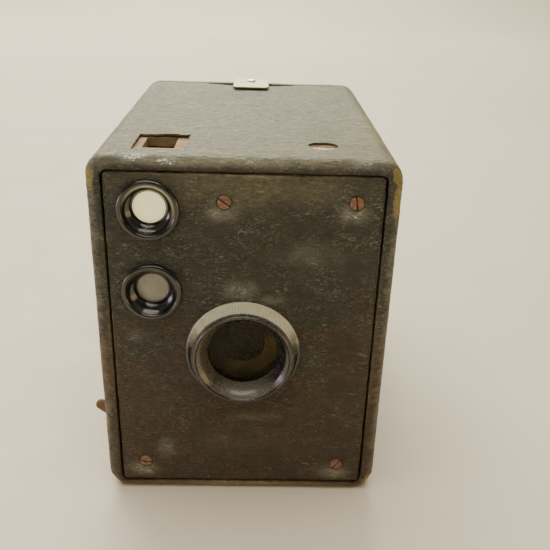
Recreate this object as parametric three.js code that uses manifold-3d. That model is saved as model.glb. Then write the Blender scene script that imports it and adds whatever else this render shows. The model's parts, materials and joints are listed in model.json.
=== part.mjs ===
// Wooden box camera for 6 x 9 cm roll film, covered in leathercloth.
// Millimetres, +Z up. The lens looks towards -Y, and the origin is the middle of the underside.
// While modelling, y counts from the front face; the outer group then centres the case on the origin.

import * as THREE from 'three';
import { mergeVertices } from 'three/addons/utils/BufferGeometryUtils.js';
import Module from 'manifold-3d';

const wasm = await Module();
wasm.setup();

// ---------------------------------------------------------------- driving dimensions

// case
const caseWidth = 90.4;
const caseHeight = 116.8;
const caseDepth = 125;
const edgeRadius = 6.5;      // long edges of the case
const rimRadius = 3.2;       // edges round the front and the back
const skin = 0.6;            // leathercloth
const glue = 0.1;            // gap between the cloth and the board under it
const slack = 0.3;           // gap between two pieces that touch
const sideRim = 4.2;
const topRim = 4;
const bottomRim = 2.7;
const doorThickness = 5.6;
const doorGap = 0.5;
const scoop = { halfWidth: 22.7, length: 5, depth: 1.5 };  // thumb scoop round the latch

// front panel
const panelThickness = 6;
const panelClearance = 0.7;
const panelEdge = 1.2;
const panelCorner = 1.6;
const screwHead = 2.2;
const screwProud = 0.15;
const screwShank = 1.1;
const screwLength = 10.5;
const screwSlot = { half: 0.3, depth: 0.45 };
const screws = [
  { x: -5.8, z: 103.8, turn: 0.6 },
  { x: 32.1, z: 104.2, turn: 1.2 },
  { x: -32.3, z: 11.5, turn: 0.2 },
  { x: 32, z: 11, turn: 2.3 },
];
const railDepth = 4.7;
const topRail = { left: -14, z: [98.05, 110] };
const bottomRailHeight = 13.8;

// lens
const lensZ = 54.4;
const ringBase = 17.8;
const ringFront = 15.2;
const ringHeight = 5.3;
const ringNeck = 13.2;
const ringRear = 5;
const funnelFront = 14.4;
const funnelBack = 11.1;
const lensRadius = 12.2;
const lensSeat = 1.1;
const retainerBore = 10.6;
const stopRadius = 7;
const stopPlateHalf = 15.8;

// finders
const finderX = -27.6;
const upperFinderZ = 101;
const lowerFinderZ = 75.1;
const bezelRadius = 9.1;
const bezelNeck = 7.4;
const bezelRear = 5;
const finderGlass = 5.5;
const finderDepth = 27;
const upperMirrorY = 18.2;
const lowerMirrorY = 16.5;
const housingWall = 0.8;
const housingX = [-40.4, -16.4];
const housingZ = [62.5, 112.6];
const housingShelf = 88.1;
const mirrorLength = 21;
const mirrorWidth = 18;
const mirrorThickness = 1.2;
const windowSeat = { x: [-35, -17], y: [6.5, 26.4], depth: 0.4 };
const windowHole = { x: [-30.6, -21.2], y: [13.2, 25.6] };
const sideWindow = { y: [8.5, 24.5], z: [66, 84] };
const sideFrameBorder = 2.5;
const sideFrameLip = 0.6;

// shutter
const shutterBoardY = 17;
const shutterBoardThickness = 3;
const discRadius = 24;
const discY = 13.2;
const discThickness = 0.6;
const discDrop = 15;         // pivot below the lens axis
const discLead = Math.PI / 3;  // angle from the closed aperture to the lens axis
const discAperture = 6.5;
const discBore = 1.7;
const leverPivot = { x: -34, z: 14 };
const leverY = 11.8;
const leverThickness = 1;
const leverWidth = 3.6;
const leverReach = 20.5;
const leverRise = 0.663;     // angle of the outer arm above level at rest
const leverTail = 14;
const leverTailRise = 0.35;
const leverBoss = 3;
const leverBore = 1.4;
const leverPin = 1.15;
const springY = 14.3;
const springWire = 0.3;
const leverSlot = { y: [11.2, 13.4], z: [9.9, 25.7] };
const slideX = [19.4, 26.4];
const slideY = [15.4, 16.6];
const slideTop = 116;
const slideFoot = 62;
const slideToe = { length: 8, height: 5 };
const tabSlot = { x: [18.6, 27.2], y: [13, 17.5] };

// film carrier
const imageHalfWidth = 28.5;
const imageHalfHeight = 41.5;
const coneWall = 0.8;
const coneFrontHalf = 9;
const coneY = [20.6, 111.6];
const gateY = [111.8, 113];
const gateBar = 2.7;
const gateHalfWidth = 33;
const plateInner = 33.2;
const plateThickness = 4;
const plateY = [28, 114.6];
const plateZ = [3.2, 112.2];
const rollerRadius = 3;
const rollerY = 110.6;
const rollerOffset = 47.7;   // above and below the lens axis
const rollerAxle = 1;
const takeUp = { y: 78, z: 98.8 };
const supply = { y: 46, z: 18 };
const spoolCore = 6;
const spoolFlange = 12.4;
const spoolHalf = 31.2;
const flangeThickness = 0.7;
const pinRadius = 1.9;
const spoolBore = 2.3;
const spoolBoreDepth = 5;
const spoolSlot = { end: 8, half: 0.8 };  // slot for the end of the film's backing paper

// winding key
const collarRadius = 4.2;
const escutcheonRadius = 9;
const keyWing = { x: [-54.8, -47.7], half: 8.5, thickness: 1.5, corner: 3.3 };
const keyBlade = { x: [-34, -28.5], half: 1.7, thickness: 1 };
const collarEnd = -38;

// door fittings
const doorPanelDepth = 3.5;
const hingeAxis = { y: 123.9, z: 1.9 };
const hingeHalf = 20;
const hingeMiddle = 6.7;
const knuckle = 1.5;
const hingePin = 0.7;
const leaf = 0.55;
const caseLeafFront = 104;
const doorLeafTop = 16;
const latchAxis = { y: 123.9, z: 116.7 };
const latchKnuckle = 1.4;
const latchPin = 0.6;
const latchHalf = 7.3;
const latchMiddle = 3.7;
const latchFront = 104;
const latchThickness = 0.7;
const latchCorner = 2;
const rivetY = 117.5;
const bracketFoot = 98;
const redWindow = { radius: 5.2, y: [122, 123], eyelet: 8, eyeletFront: 121 };

// tripod sockets
const socketFlange = 7.5;
const socketBody = 6;
const socketThread = 3.05;
const bottomSocket = { y: 88, depth: 8 };
const sideSocket = { y: 62.5, z: 58.4, depth: 5.8 };

// ---------------------------------------------------------------- derived dimensions

const half = caseWidth / 2;
const mouthHalf = half - sideRim;
const mouthTop = caseHeight - topRim;
const mouthBottom = bottomRim;
const doorFront = caseDepth - doorThickness;
const caseRear = doorFront - doorGap;
const boardInset = skin + glue;
const panelHalf = mouthHalf - panelClearance;
const panelBottom = mouthBottom + panelClearance;
const panelTop = mouthTop - panelClearance;
const beyond = 200;          // longer than anything that a cutting tool has to pass through
const flat = 0.01;           // leaves a short flat between two arcs of a round end

// ---------------------------------------------------------------- materials

function finish(color, roughness, metalness = 0) {
  return new THREE.MeshStandardMaterial({ color, roughness, metalness });
}

const leathercloth = finish(0x3a332a, 0.6);
const paleWood = finish(0xb98a55, 0.75);
const blackWood = finish(0x1d1a17, 0.8);
const blackEnamel = finish(0x15151a, 0.25);
const blackCard = finish(0x121212, 0.9);
const glass = finish(0xcfd8d2, 0.08);
const mirror = finish(0xe0e4e2, 0.1, 0.9);
const nickel = finish(0xc8c2b0, 0.3, 0.9);
const brass = finish(0xa8853f, 0.4, 0.9);
const rustySteel = finish(0x7a4a34, 0.7, 0.6);
const blackSteel = finish(0x2a2a2c, 0.5, 0.7);
const rubyCelluloid = finish(0x8c1410, 0.2);

// ---------------------------------------------------------------- geometry helpers

// Leaves only positions, joins vertices that coincide and drops triangles with no area.
function closed(geometry) {
  const bare = new THREE.BufferGeometry();
  bare.setAttribute('position', geometry.getAttribute('position'));
  bare.setIndex(geometry.getIndex());
  const merged = mergeVertices(bare, 1e-4);
  const index = merged.getIndex().array;
  const kept = [];
  for (let i = 0; i < index.length; i += 3) {
    const [a, b, c] = index.slice(i, i + 3);
    if (a !== b && b !== c && c !== a) kept.push(a, b, c);
  }
  merged.setIndex(kept);
  return merged;
}

function toManifold(geometry) {
  const merged = closed(geometry);
  const vertProperties = new Float32Array(merged.getAttribute('position').array);
  const triVerts = new Uint32Array(merged.getIndex().array);
  return new wasm.Manifold(new wasm.Mesh({ numProp: 3, vertProperties, triVerts }));
}

function toGeometry(manifold) {
  const { vertProperties, triVerts } = manifold.getMesh();
  const geometry = new THREE.BufferGeometry();
  geometry.setAttribute('position', new THREE.BufferAttribute(vertProperties, 3));
  geometry.setIndex(new THREE.BufferAttribute(triVerts, 1));
  return geometry;
}

function cut(base, ...tools) {
  return toGeometry(tools.reduce((rest, tool) => rest.subtract(toManifold(tool)), toManifold(base)));
}

function join(base, ...more) {
  return toGeometry(more.reduce((sum, piece) => sum.add(toManifold(piece)), toManifold(base)));
}

function common(first, second) {
  return toGeometry(toManifold(first).intersect(toManifold(second)));
}

function block([x0, x1], [y0, y1], [z0, z1]) {
  const box = new THREE.BoxGeometry(x1 - x0, y1 - y0, z1 - z0);
  return box.translate((x0 + x1) / 2, (y0 + y1) / 2, (z0 + z1) / 2);
}

// Outline with rounded corners, in the two axes across the extrusion.
function roundedOutline([u0, u1], [v0, v1], radius) {
  const shape = new THREE.Shape();
  const quarter = Math.PI / 2;
  shape.absarc(u1 - radius, v0 + radius, radius, -quarter, 0);
  shape.absarc(u1 - radius, v1 - radius, radius, 0, quarter);
  shape.absarc(u0 + radius, v1 - radius, radius, quarter, 2 * quarter);
  shape.absarc(u0 + radius, v0 + radius, radius, 2 * quarter, 3 * quarter);
  shape.closePath();
  return shape;
}

// Local x, y and z of an extrusion become these axes.
const extrusionAxes = {
  x: new THREE.Matrix4().makeBasis(
    new THREE.Vector3(0, 1, 0), new THREE.Vector3(0, 0, 1), new THREE.Vector3(1, 0, 0)),
  y: new THREE.Matrix4().makeBasis(
    new THREE.Vector3(1, 0, 0), new THREE.Vector3(0, 0, 1), new THREE.Vector3(0, -1, 0)),
  z: new THREE.Matrix4(),
};

// Extrudes an outline from `from` to `to` along an axis: the outline's own axes are
// y and z for x, x and z for y, and x and y for z.
function prism(shape, axis, [from, to], curveSegments = 5) {
  const options = { depth: to - from, bevelEnabled: false, curveSegments };
  const geometry = new THREE.ExtrudeGeometry(shape, options).applyMatrix4(extrusionAxes[axis]);
  if (axis === 'x') geometry.translate(from, 0, 0);
  if (axis === 'y') geometry.translate(0, to, 0);
  if (axis === 'z') geometry.translate(0, 0, from);
  return geometry;
}

// Box with rounded corners along y and rounded edges at both of its y ends.
function roundedBlock(xSpan, [y0, y1], zSpan, corner, edge) {
  const shape = roundedOutline(xSpan, zSpan, corner);
  const options = {
    depth: y1 - y0 - 2 * edge,
    curveSegments: 3,
    bevelThickness: edge,
    bevelSize: edge,
    bevelOffset: -edge,
    bevelSegments: 2,
  };
  const geometry = new THREE.ExtrudeGeometry(shape, options).applyMatrix4(extrusionAxes.y);
  return geometry.translate(0, y1 - edge, 0);
}

// Solid of revolution of [radius, distance along the axis] points.
function turned(profile, axis = 'y', segments = 16) {
  const points = profile.map(([radius, along]) => new THREE.Vector2(radius, along));
  const geometry = new THREE.LatheGeometry(points, segments);
  if (axis === 'x') geometry.rotateZ(-Math.PI / 2);
  if (axis === 'z') geometry.rotateX(Math.PI / 2);
  return outward(geometry);
}

function rod(radius, [from, to], axis = 'y', segments = 12) {
  return turned([[0, from], [radius, from], [radius, to], [0, to]], axis, segments);
}

// Turns a mesh's faces round if they point inwards.
function outward(geometry) {
  const merged = closed(geometry);
  const position = merged.getAttribute('position');
  const index = Array.from(merged.getIndex().array);
  const corner = [new THREE.Vector3(), new THREE.Vector3(), new THREE.Vector3()];
  let volume = 0;
  for (let i = 0; i < index.length; i += 3) {
    corner.forEach((point, k) => point.fromBufferAttribute(position, index[i + k]));
    volume += corner[0].dot(corner[1].cross(corner[2]));
  }
  merged.setIndex(volume < 0 ? index.reverse() : index);
  return merged;
}

// Frustum along y with rectangular ends, half sizes given at each end.
function frustum([y0, y1], [halfX0, halfZ0], [halfX1, halfZ1]) {
  const geometry = new THREE.BoxGeometry(2, 2, 2);
  const position = geometry.getAttribute('position');
  for (let i = 0; i < position.count; i++) {
    const t = (position.getY(i) + 1) / 2;
    const x = position.getX(i) * THREE.MathUtils.lerp(halfX0, halfX1, t);
    const z = position.getZ(i) * THREE.MathUtils.lerp(halfZ0, halfZ1, t);
    position.setXYZ(i, x, THREE.MathUtils.lerp(y0, y1, t), z);
  }
  return geometry;
}

const camera = new THREE.Group();
camera.position.y = -caseDepth / 2;

function part(name, geometry, material, [x, y, z] = [0, 0, 0]) {
  const mesh = new THREE.Mesh(geometry, material);
  mesh.name = name;
  mesh.position.set(x, y, z);
  camera.add(mesh);
}

// ---------------------------------------------------------------- case

// The block that the four boards are cut from, or with a smaller inset the space that they fill.
function caseBlock(inset) {
  const whole = roundedBlock([inset - half, half - inset], [inset, beyond],
    [inset, caseHeight - inset], edgeRadius - inset, rimRadius - inset);
  return common(whole, block([-beyond, beyond], [-beyond, caseRear], [-beyond, beyond]));
}

// Shallow thumb scoop in the top, either side of the latch.
function latchScoop(bottom) {
  const rear = caseRear + 1;
  const front = caseRear - scoop.length;
  const shape = new THREE.Shape();
  shape.moveTo(-scoop.halfWidth, rear);
  shape.quadraticCurveTo(-scoop.halfWidth / 2, caseRear - 1, -latchHalf - 1, front);
  shape.lineTo(latchHalf + 1, front);
  shape.quadraticCurveTo(scoop.halfWidth / 2, caseRear - 1, scoop.halfWidth, rear);
  shape.closePath();
  return prism(shape, 'z', [bottom, beyond], 6);
}

function tabSlotTool() {
  const radius = (tabSlot.y[1] - tabSlot.y[0]) / 2 - flat;
  return prism(roundedOutline(tabSlot.x, tabSlot.y, radius), 'z', [mouthTop - 1, beyond]);
}

function buildCase() {
  const boards = caseBlock(boardInset);
  const wall = [-beyond, beyond];
  const seatBottom = caseHeight - boardInset - windowSeat.depth;
  const scoopBottom = caseHeight - scoop.depth;
  const socketHole = rod(socketBody + slack, [-1, mouthBottom + 1], 'z').translate(0, bottomSocket.y, 0);

  const top = cut(common(boards, block([glue - mouthHalf, mouthHalf - glue], wall, [mouthTop, beyond])),
    block(windowSeat.x, windowSeat.y, [seatBottom, beyond]),
    block(windowHole.x, windowHole.y, wall),
    tabSlotTool(), latchScoop(scoopBottom));
  part('top_board', top, paleWood);

  const bottom = common(boards, block([glue - mouthHalf, mouthHalf - glue], wall, [-1, mouthBottom]));
  part('bottom_board', cut(bottom, socketHole), paleWood);

  const keyHole = rod(collarRadius + 1, [-half - 1, 1 - mouthHalf], 'x').translate(0, takeUp.y, takeUp.z);
  const leftHoles = [keyHole, block([-beyond, 0], leverSlot.y, leverSlot.z),
    block([-beyond, 0], sideWindow.y, sideWindow.z)];
  const left = cut(common(boards, block([-half, -mouthHalf], wall, wall)), ...leftHoles);
  part('left_board', left, paleWood);

  const sideHole = rod(socketBody + slack, [mouthHalf - 1, half + 1], 'x')
    .translate(0, sideSocket.y, sideSocket.z);
  part('right_board', cut(common(boards, block([mouthHalf, half], wall, wall)), sideHole), paleWood);

  const bottomFlange = rod(socketFlange + slack, [-1, 1], 'z').translate(0, bottomSocket.y, 0);
  const sideFlange = rod(socketFlange + slack, [half - 1, half + 1], 'x')
    .translate(0, sideSocket.y, sideSocket.z);
  const leafRecess = block([-hingeHalf - slack, hingeHalf + slack],
    [caseLeafFront - slack, caseDepth], [-1, skin + glue]);
  const covering = cut(caseBlock(0), caseBlock(skin),
    block([-mouthHalf, mouthHalf], [-1, beyond], [mouthBottom, mouthTop]),
    block(windowSeat.x, windowSeat.y, [mouthTop, beyond]),
    tabSlotTool(), latchScoop(scoopBottom), ...leftHoles, bottomFlange, sideFlange, leafRecess);
  part('case_covering', covering, leathercloth);
}

// ---------------------------------------------------------------- front panel

// Countersunk head, shank and point, or with `grow` the hole that clears them.
function screwProfile(grow) {
  const rim = 0.2;
  const neck = 1.8;
  const point = 1.5;
  return [
    [0, -screwProud - grow],
    [screwHead + grow, -screwProud - grow],
    [screwHead + grow, rim],
    [screwShank + grow, neck + grow],
    [screwShank + grow, screwLength - point],
    [0, screwLength + grow],
  ];
}

function buildFrontPanel() {
  const edges = (inset) => [
    [inset - panelHalf, panelHalf - inset],
    [panelBottom + inset, panelTop - inset],
  ];
  const panelBlock = (inset, rear) => {
    const [xSpan, zSpan] = edges(inset);
    const whole = roundedBlock(xSpan, [inset, beyond], zSpan, panelCorner - inset, panelEdge - inset);
    return common(whole, block([-beyond, beyond], [-1, rear], [-beyond, beyond]));
  };
  const screwSides = 10;
  const screwGap = 0.15;
  const holes = screws.map(({ x, z }) => turned(screwProfile(screwGap), 'y', screwSides)
    .translate(x, 0, z));
  const through = [-1, panelThickness + 1];
  holes.push(rod(ringNeck + slack, through, 'y', 24).translate(0, 0, lensZ));
  holes.push(rod(bezelNeck + slack, through).translate(finderX, 0, upperFinderZ));
  holes.push(rod(bezelNeck + slack, through).translate(finderX, 0, lowerFinderZ));

  part('front_panel', cut(panelBlock(boardInset, panelThickness), ...holes), blackWood);
  const covering = cut(panelBlock(0, panelThickness), panelBlock(skin, beyond), ...holes);
  part('front_panel_covering', covering, leathercloth);

  screws.forEach(({ x, z, turn }, i) => {
    const slot = block([-screwHead - 1, screwHead + 1], [-1, screwSlot.depth],
      [-screwSlot.half, screwSlot.half]).rotateY(turn);
    const screw = cut(turned(screwProfile(0), 'y', screwSides), slot);
    part(`panel_screw_${i + 1}`, screw, rustySteel, [x, 0, z]);
  });

  const railY = [panelThickness + slack, panelThickness + slack + railDepth];
  const upper = block([topRail.left, mouthHalf - slack], railY, topRail.z);
  const lower = block([slack - mouthHalf, mouthHalf - slack], railY,
    [mouthBottom + slack, mouthBottom + slack + bottomRailHeight]);
  const pivotHole = rod(leverPin + 0.15, [railY[0] - 1, railY[1] + 1], 'y', 12)
    .translate(leverPivot.x, 0, leverPivot.z);
  part('front_top_rail', cut(upper, holes[0], holes[1]), paleWood);
  part('front_bottom_rail', cut(lower, holes[2], holes[3], pivotHole), paleWood);
}

// ---------------------------------------------------------------- lens

// Each outline runs from the outside round the front to the bore: radius, then y from the panel's face.
function buildLens() {
  const ring = [
    [ringBase, 0],
    [ringBase, -0.6],
    [ringBase - 0.5, -0.8],
    [ringFront + 0.7, 0.9 - ringHeight],
    [ringFront + 0.1, 0.8 - ringHeight],
    [ringFront, 0.3 - ringHeight],
    [ringFront - 0.3, -ringHeight],
    [funnelFront + 0.2, -ringHeight],
    [funnelFront, 0.3 - ringHeight],
    [funnelBack, 0.3],
    [funnelBack, lensSeat],
    [lensRadius + slack, lensSeat],
    [lensRadius + slack, ringRear],
    [ringNeck, ringRear],
    [ringNeck, 0],
    [ringBase, 0],
  ];
  part('lens_ring', turned(ring, 'y', 32), blackEnamel, [0, 0, lensZ]);

  const lens = [[0, 0.3], [4, 0.42], [8, 0.8], [11, 1.3], [lensRadius, 1.4], [lensRadius, 3.2],
    [8, 2.6], [4, 2.2], [0, 2.1]];
  part('lens', turned(lens, 'y', 20), glass, [0, 0, lensZ]);

  const retainer = [[retainerBore, 3.4], [lensRadius, 3.4], [lensRadius, 4.6],
    [retainerBore, 4.6], [retainerBore, 3.4]];
  part('lens_retaining_ring', turned(retainer, 'y', 20), brass, [0, 0, lensZ]);

  const stopY = [panelThickness + 0.2, panelThickness + 1];
  const plate = block([-stopPlateHalf, stopPlateHalf], stopY, [-stopPlateHalf, stopPlateHalf]);
  const hole = rod(stopRadius, [stopY[0] - 1, stopY[1] + 1], 'y', 20);
  part('stop_plate', cut(plate, hole), blackSteel, [0, 0, lensZ]);
}

// ---------------------------------------------------------------- finders

function buildFinders() {
  const bezel = [
    [bezelRadius, 0],
    [bezelRadius, -0.7],
    [bezelRadius - 0.4, -1.2],
    [bezelRadius - 0.9, -1.35],
    [bezelRadius - 1.4, -1.1],
    [bezelRadius - 2.1, -0.1],
    [finderGlass, 1.3],
    [4.8, 2.2],
    [4.8, 2.6],
    [finderGlass + 0.2, 2.6],
    [finderGlass + 0.2, bezelRear],
    [bezelNeck, bezelRear],
    [bezelNeck, 0],
    [bezelRadius, 0],
  ];
  const lens = [[0, 2.4], [2.5, 2.55], [4.4, 2.9], [finderGlass, 2.9], [finderGlass, 4.2], [0, 4.2]];
  const heights = { upper: upperFinderZ, lower: lowerFinderZ };
  for (const [name, z] of Object.entries(heights)) {
    part(`${name}_finder_bezel`, turned(bezel, 'y', 20), blackEnamel, [finderX, 0, z]);
    part(`${name}_finder_lens`, turned(lens, 'y', 14), glass, [finderX, 0, z]);
  }

  const front = panelThickness + slack;
  const inside = [housingX[0] + housingWall, housingX[1] - housingWall];
  const rear = finderDepth - housingWall;
  const housing = cut(block(housingX, [front, finderDepth], housingZ),
    block(inside, [0, rear], [housingShelf + housingWall, beyond]),
    block([-beyond, inside[1]], [0, rear], [housingZ[0] + housingWall, housingShelf]));
  part('finder_housing', housing, blackCard);

  const length = [-mirrorLength / 2, mirrorLength / 2];
  const width = [-mirrorWidth / 2, mirrorWidth / 2];
  const tilt = Math.PI / 4;
  const upright = block(width, length, [0, mirrorThickness]).rotateX(tilt);
  part('upper_finder_mirror', upright, mirror, [finderX, upperMirrorY, upperFinderZ - 1]);
  const sideways = block(length, [0, mirrorThickness], width).rotateZ(-tilt);
  part('lower_finder_mirror', sideways, mirror, [finderX - 0.6, lowerMirrorY, lowerFinderZ]);

  const lip = sideFrameLip;
  const frameY = [sideWindow.y[0] - sideFrameBorder, sideWindow.y[1] + sideFrameBorder];
  const frameZ = [sideWindow.z[0] - sideFrameBorder, sideWindow.z[1] + sideFrameBorder];
  const neckY = [sideWindow.y[0] + slack, sideWindow.y[1] - slack];
  const neckZ = [sideWindow.z[0] + slack, sideWindow.z[1] - slack];
  const flange = prism(roundedOutline(frameY, frameZ, 1.5), 'x', [-half - glue - lip, -half - glue], 3);
  const neck = block([-half - glue - lip, 1.5 - half + glue], neckY, neckZ);
  const bore = block([-beyond, 0], [neckY[0] + lip, neckY[1] - lip], [neckZ[0] + lip, neckZ[1] - lip]);
  part('side_finder_frame', cut(join(flange, neck), bore), brass);
  const paneGap = lip + 0.1;
  const pane = block([-half + 0.4, -half + 1.5], [neckY[0] + paneGap, neckY[1] - paneGap],
    [neckZ[0] + paneGap, neckZ[1] - paneGap]);
  part('side_finder_glass', pane, glass);
}

// ---------------------------------------------------------------- shutter

// Torsion spring: a helix about y with a straight leg at each end.
class TorsionSpring extends THREE.Curve {
  getPoint(t) {
    const radius = 3;
    const turns = 2.5;
    const pitch = 0.9;
    const leg = 5;
    const share = 0.12;
    const along = THREE.MathUtils.clamp((t - share) / (1 - 2 * share), 0, 1);
    const angle = along * turns * 2 * Math.PI;
    const point = new THREE.Vector3(
      radius * Math.cos(angle), along * turns * pitch, radius * Math.sin(angle));
    const tangent = new THREE.Vector3(-Math.sin(angle), 0, Math.cos(angle));
    if (t < share) point.addScaledVector(tangent, -leg * (1 - t / share));
    if (t > 1 - share) point.addScaledVector(tangent, leg * (1 - (1 - t) / share));
    return point;
  }
}

function buildShutter() {
  const boardY = [shutterBoardY, shutterBoardY + shutterBoardThickness];
  const discPivotZ = lensZ - discDrop;
  const board = cut(
    block([slack - mouthHalf, mouthHalf - slack], boardY, [mouthBottom + slack, mouthTop - slack]),
    block([-beyond, housingX[1] + slack], [0, beyond], [housingZ[0] - slack, beyond]),
    rod(coneFrontHalf, [0, beyond], 'y', 20).translate(0, 0, lensZ),
    rod(discBore, [0, beyond], 'y', 12).translate(0, 0, discPivotZ));
  part('shutter_board', board, blackWood);

  const apertureX = discDrop * Math.sin(discLead);
  const apertureZ = discDrop * Math.cos(discLead);
  const disc = cut(rod(discRadius, [0, discThickness], 'y', 32),
    rod(discBore, [-1, 1], 'y', 12),
    rod(discAperture, [-1, 1]).translate(apertureX, 0, apertureZ));
  part('shutter_disc', disc, blackSteel, [0, discY, discPivotZ]);

  const pivot = [[0, 12], [3, 12], [3, 12.9], [1.5, 12.9], [1.5, 14.1], [2.8, 14.1], [2.8, 16.8],
    [1.5, 16.8], [1.5, 19.4], [0, 19.4]];
  part('shutter_pivot', turned(pivot, 'y', 12), brass, [0, 0, discPivotZ]);

  const radius = leverWidth / 2;
  const arm = (length) => prism(
    roundedOutline([-radius, length], [-radius, radius], radius - flat), 'y', [0, leverThickness]);
  const lever = cut(
    join(arm(leverReach).rotateY(Math.PI + leverRise), arm(leverTail).rotateY(-leverTailRise),
      rod(leverBoss, [0, leverThickness])),
    rod(leverBore, [-1, leverThickness + 1], 'y', 12));
  part('shutter_lever', lever, rustySteel, [leverPivot.x, leverY, leverPivot.z]);

  const pin = [[0, 7.5], [leverPin, 7.5], [leverPin, 13.1], [2.4, 13.1], [2.4, 13.8], [0, 13.8]];
  part('lever_pivot', turned(pin, 'y', 12), brass, [leverPivot.x, 0, leverPivot.z]);

  const wire = new THREE.Shape().absarc(0, 0, springWire, 0, 2 * Math.PI);
  const spring = new THREE.ExtrudeGeometry(wire, {
    steps: 44, curveSegments: 2, extrudePath: new TorsionSpring(),
  });
  part('shutter_spring', outward(spring), rustySteel, [leverPivot.x, springY, leverPivot.z]);

  const slide = join(block(slideX, slideY, [slideFoot, slideTop]),
    block([slideX[0] - slideToe.length, slideX[1]], slideY, [slideFoot, slideFoot + slideToe.height]));
  part('time_slide', slide, brass);
}

// ---------------------------------------------------------------- film carrier

function buildCarrier() {
  const [coneFront, coneRear] = coneY;
  const outer = frustum(coneY, [coneFrontHalf + coneWall, coneFrontHalf + coneWall],
    [imageHalfWidth + coneWall, imageHalfHeight + coneWall]);
  const run = coneRear - coneFront;
  const past = 5;
  const extend = (rearHalf) => (rearHalf - coneFrontHalf) * past / run;
  const inner = frustum([coneFront - past, coneRear + past],
    [coneFrontHalf - extend(imageHalfWidth), coneFrontHalf - extend(imageHalfHeight)],
    [imageHalfWidth + extend(imageHalfWidth), imageHalfHeight + extend(imageHalfHeight)]);
  part('light_cone', cut(outer, inner), blackCard, [0, 0, lensZ]);

  const gateHalfHeight = imageHalfHeight + gateBar;
  const gate = cut(
    block([-gateHalfWidth, gateHalfWidth], gateY, [-gateHalfHeight, gateHalfHeight]),
    block([-imageHalfWidth, imageHalfWidth], [0, beyond], [-imageHalfHeight, imageHalfHeight]));
  part('gate_frame', gate, nickel, [0, 0, lensZ]);

  const across = [-beyond, beyond];
  const plateHoles = [
    rod(rollerAxle + 0.2, across, 'x', 12).translate(0, rollerY, lensZ + rollerOffset),
    rod(rollerAxle + 0.2, across, 'x', 12).translate(0, rollerY, lensZ - rollerOffset),
    rod(pinRadius + 0.3, across, 'x', 12).translate(0, takeUp.y, takeUp.z),
    rod(pinRadius + 0.3, across, 'x', 12).translate(0, supply.y, supply.z),
  ];
  const outline = roundedOutline(plateY, plateZ, 2);
  const outerFace = plateInner + plateThickness;
  const leftPlate = prism(outline, 'x', [-outerFace, -plateInner], 3);
  const rightPlate = prism(outline, 'x', [plateInner, outerFace], 3);
  part('carrier_left_plate', cut(leftPlate, ...plateHoles), blackWood);
  part('carrier_right_plate', cut(rightPlate, ...plateHoles), blackWood);

  const rollerHalf = plateInner - 1;
  const axleHalf = outerFace - 0.5;
  const roller = [[0, -axleHalf], [rollerAxle, -axleHalf], [rollerAxle, -rollerHalf],
    [rollerRadius, -rollerHalf], [rollerRadius, rollerHalf], [rollerAxle, rollerHalf],
    [rollerAxle, axleHalf], [0, axleHalf]];
  part('upper_roller', turned(roller, 'x', 14), nickel, [0, rollerY, lensZ + rollerOffset]);
  part('lower_roller', turned(roller, 'x', 14), nickel, [0, rollerY, lensZ - rollerOffset]);

  const core = cut(rod(spoolCore, [-spoolHalf, spoolHalf], 'x', 16),
    rod(spoolBore, [-spoolHalf - 1, spoolBoreDepth - spoolHalf], 'x'),
    rod(spoolBore, [spoolHalf - spoolBoreDepth, spoolHalf + 1], 'x'),
    block([spoolSlot.end - spoolHalf, spoolHalf - spoolSlot.end], [-spoolSlot.half, spoolSlot.half], across));
  const place = [0, takeUp.y, takeUp.z];
  part('spool_core', core, paleWood, place);
  const nearFace = spoolHalf + 0.2;
  const farFace = nearFace + flangeThickness;
  const flange = (near, far) => turned([[spoolBore, near], [spoolFlange, near], [spoolFlange, far],
    [spoolBore, far], [spoolBore, near]], 'x', 24);
  part('spool_flange_left', flange(-farFace, -nearFace), blackSteel, place);
  part('spool_flange_right', flange(nearFace, farFace), blackSteel, place);

  const pin = [[0, 28.8], [1.4, 28.8], [pinRadius, 29.4], [pinRadius, outerFace + 0.2],
    [3.4, outerFace + 0.2], [3.4, outerFace + 1], [0, outerFace + 1]];
  const mirrored = pin.map(([radius, along]) => [radius, -along]);
  part('take_up_pin', turned(pin, 'x', 12), nickel, place);
  part('supply_pin_right', turned(pin, 'x', 12), nickel, [0, supply.y, supply.z]);
  part('supply_pin_left', turned(mirrored, 'x', 12), nickel, [0, supply.y, supply.z]);
}

// ---------------------------------------------------------------- winding key

function buildKey() {
  const place = [0, takeUp.y, takeUp.z];
  const face = -half - glue;
  const tube = collarRadius + 0.2;
  const escutcheon = [[tube, face - 0.7], [escutcheonRadius, face - 0.7], [escutcheonRadius, face],
    [tube + 0.5, face], [tube + 0.5, -mouthHalf], [tube, -mouthHalf], [tube, face - 0.7]];
  part('key_escutcheon', turned(escutcheon, 'x', 20), nickel, place);

  const bore = pinRadius + 0.15;
  const head = face - 1;
  const collar = [[bore, head - 0.8], [5.8, head - 0.8], [5.8, head], [collarRadius, head],
    [collarRadius, collarEnd], [bore, collarEnd], [bore, head - 0.8]];
  part('key_collar', turned(collar, 'x', 16), nickel, place);

  const overlap = 0.4;
  const shaft = rod(pinRadius, [keyWing.x[0] + 3, keyBlade.x[0] + overlap], 'x', 14);
  const blade = block(keyBlade.x, [-keyBlade.half, keyBlade.half],
    [-keyBlade.thickness / 2, keyBlade.thickness / 2]);
  const wing = prism(roundedOutline(keyWing.x, [-keyWing.half, keyWing.half], keyWing.corner), 'z',
    [-keyWing.thickness / 2, keyWing.thickness / 2], 4);
  part('winding_key', join(wing, shaft, blade), nickel, place);
}

// ---------------------------------------------------------------- door

// Door block rounded at its back, cut off flat at `front`.
function doorBlock(inset, front) {
  const whole = roundedBlock([inset - half, half - inset], [0, caseDepth - inset],
    [inset, caseHeight - inset], edgeRadius - inset, rimRadius - inset);
  return common(whole, block([-beyond, beyond], [front, beyond], [-beyond, beyond]));
}

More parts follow.
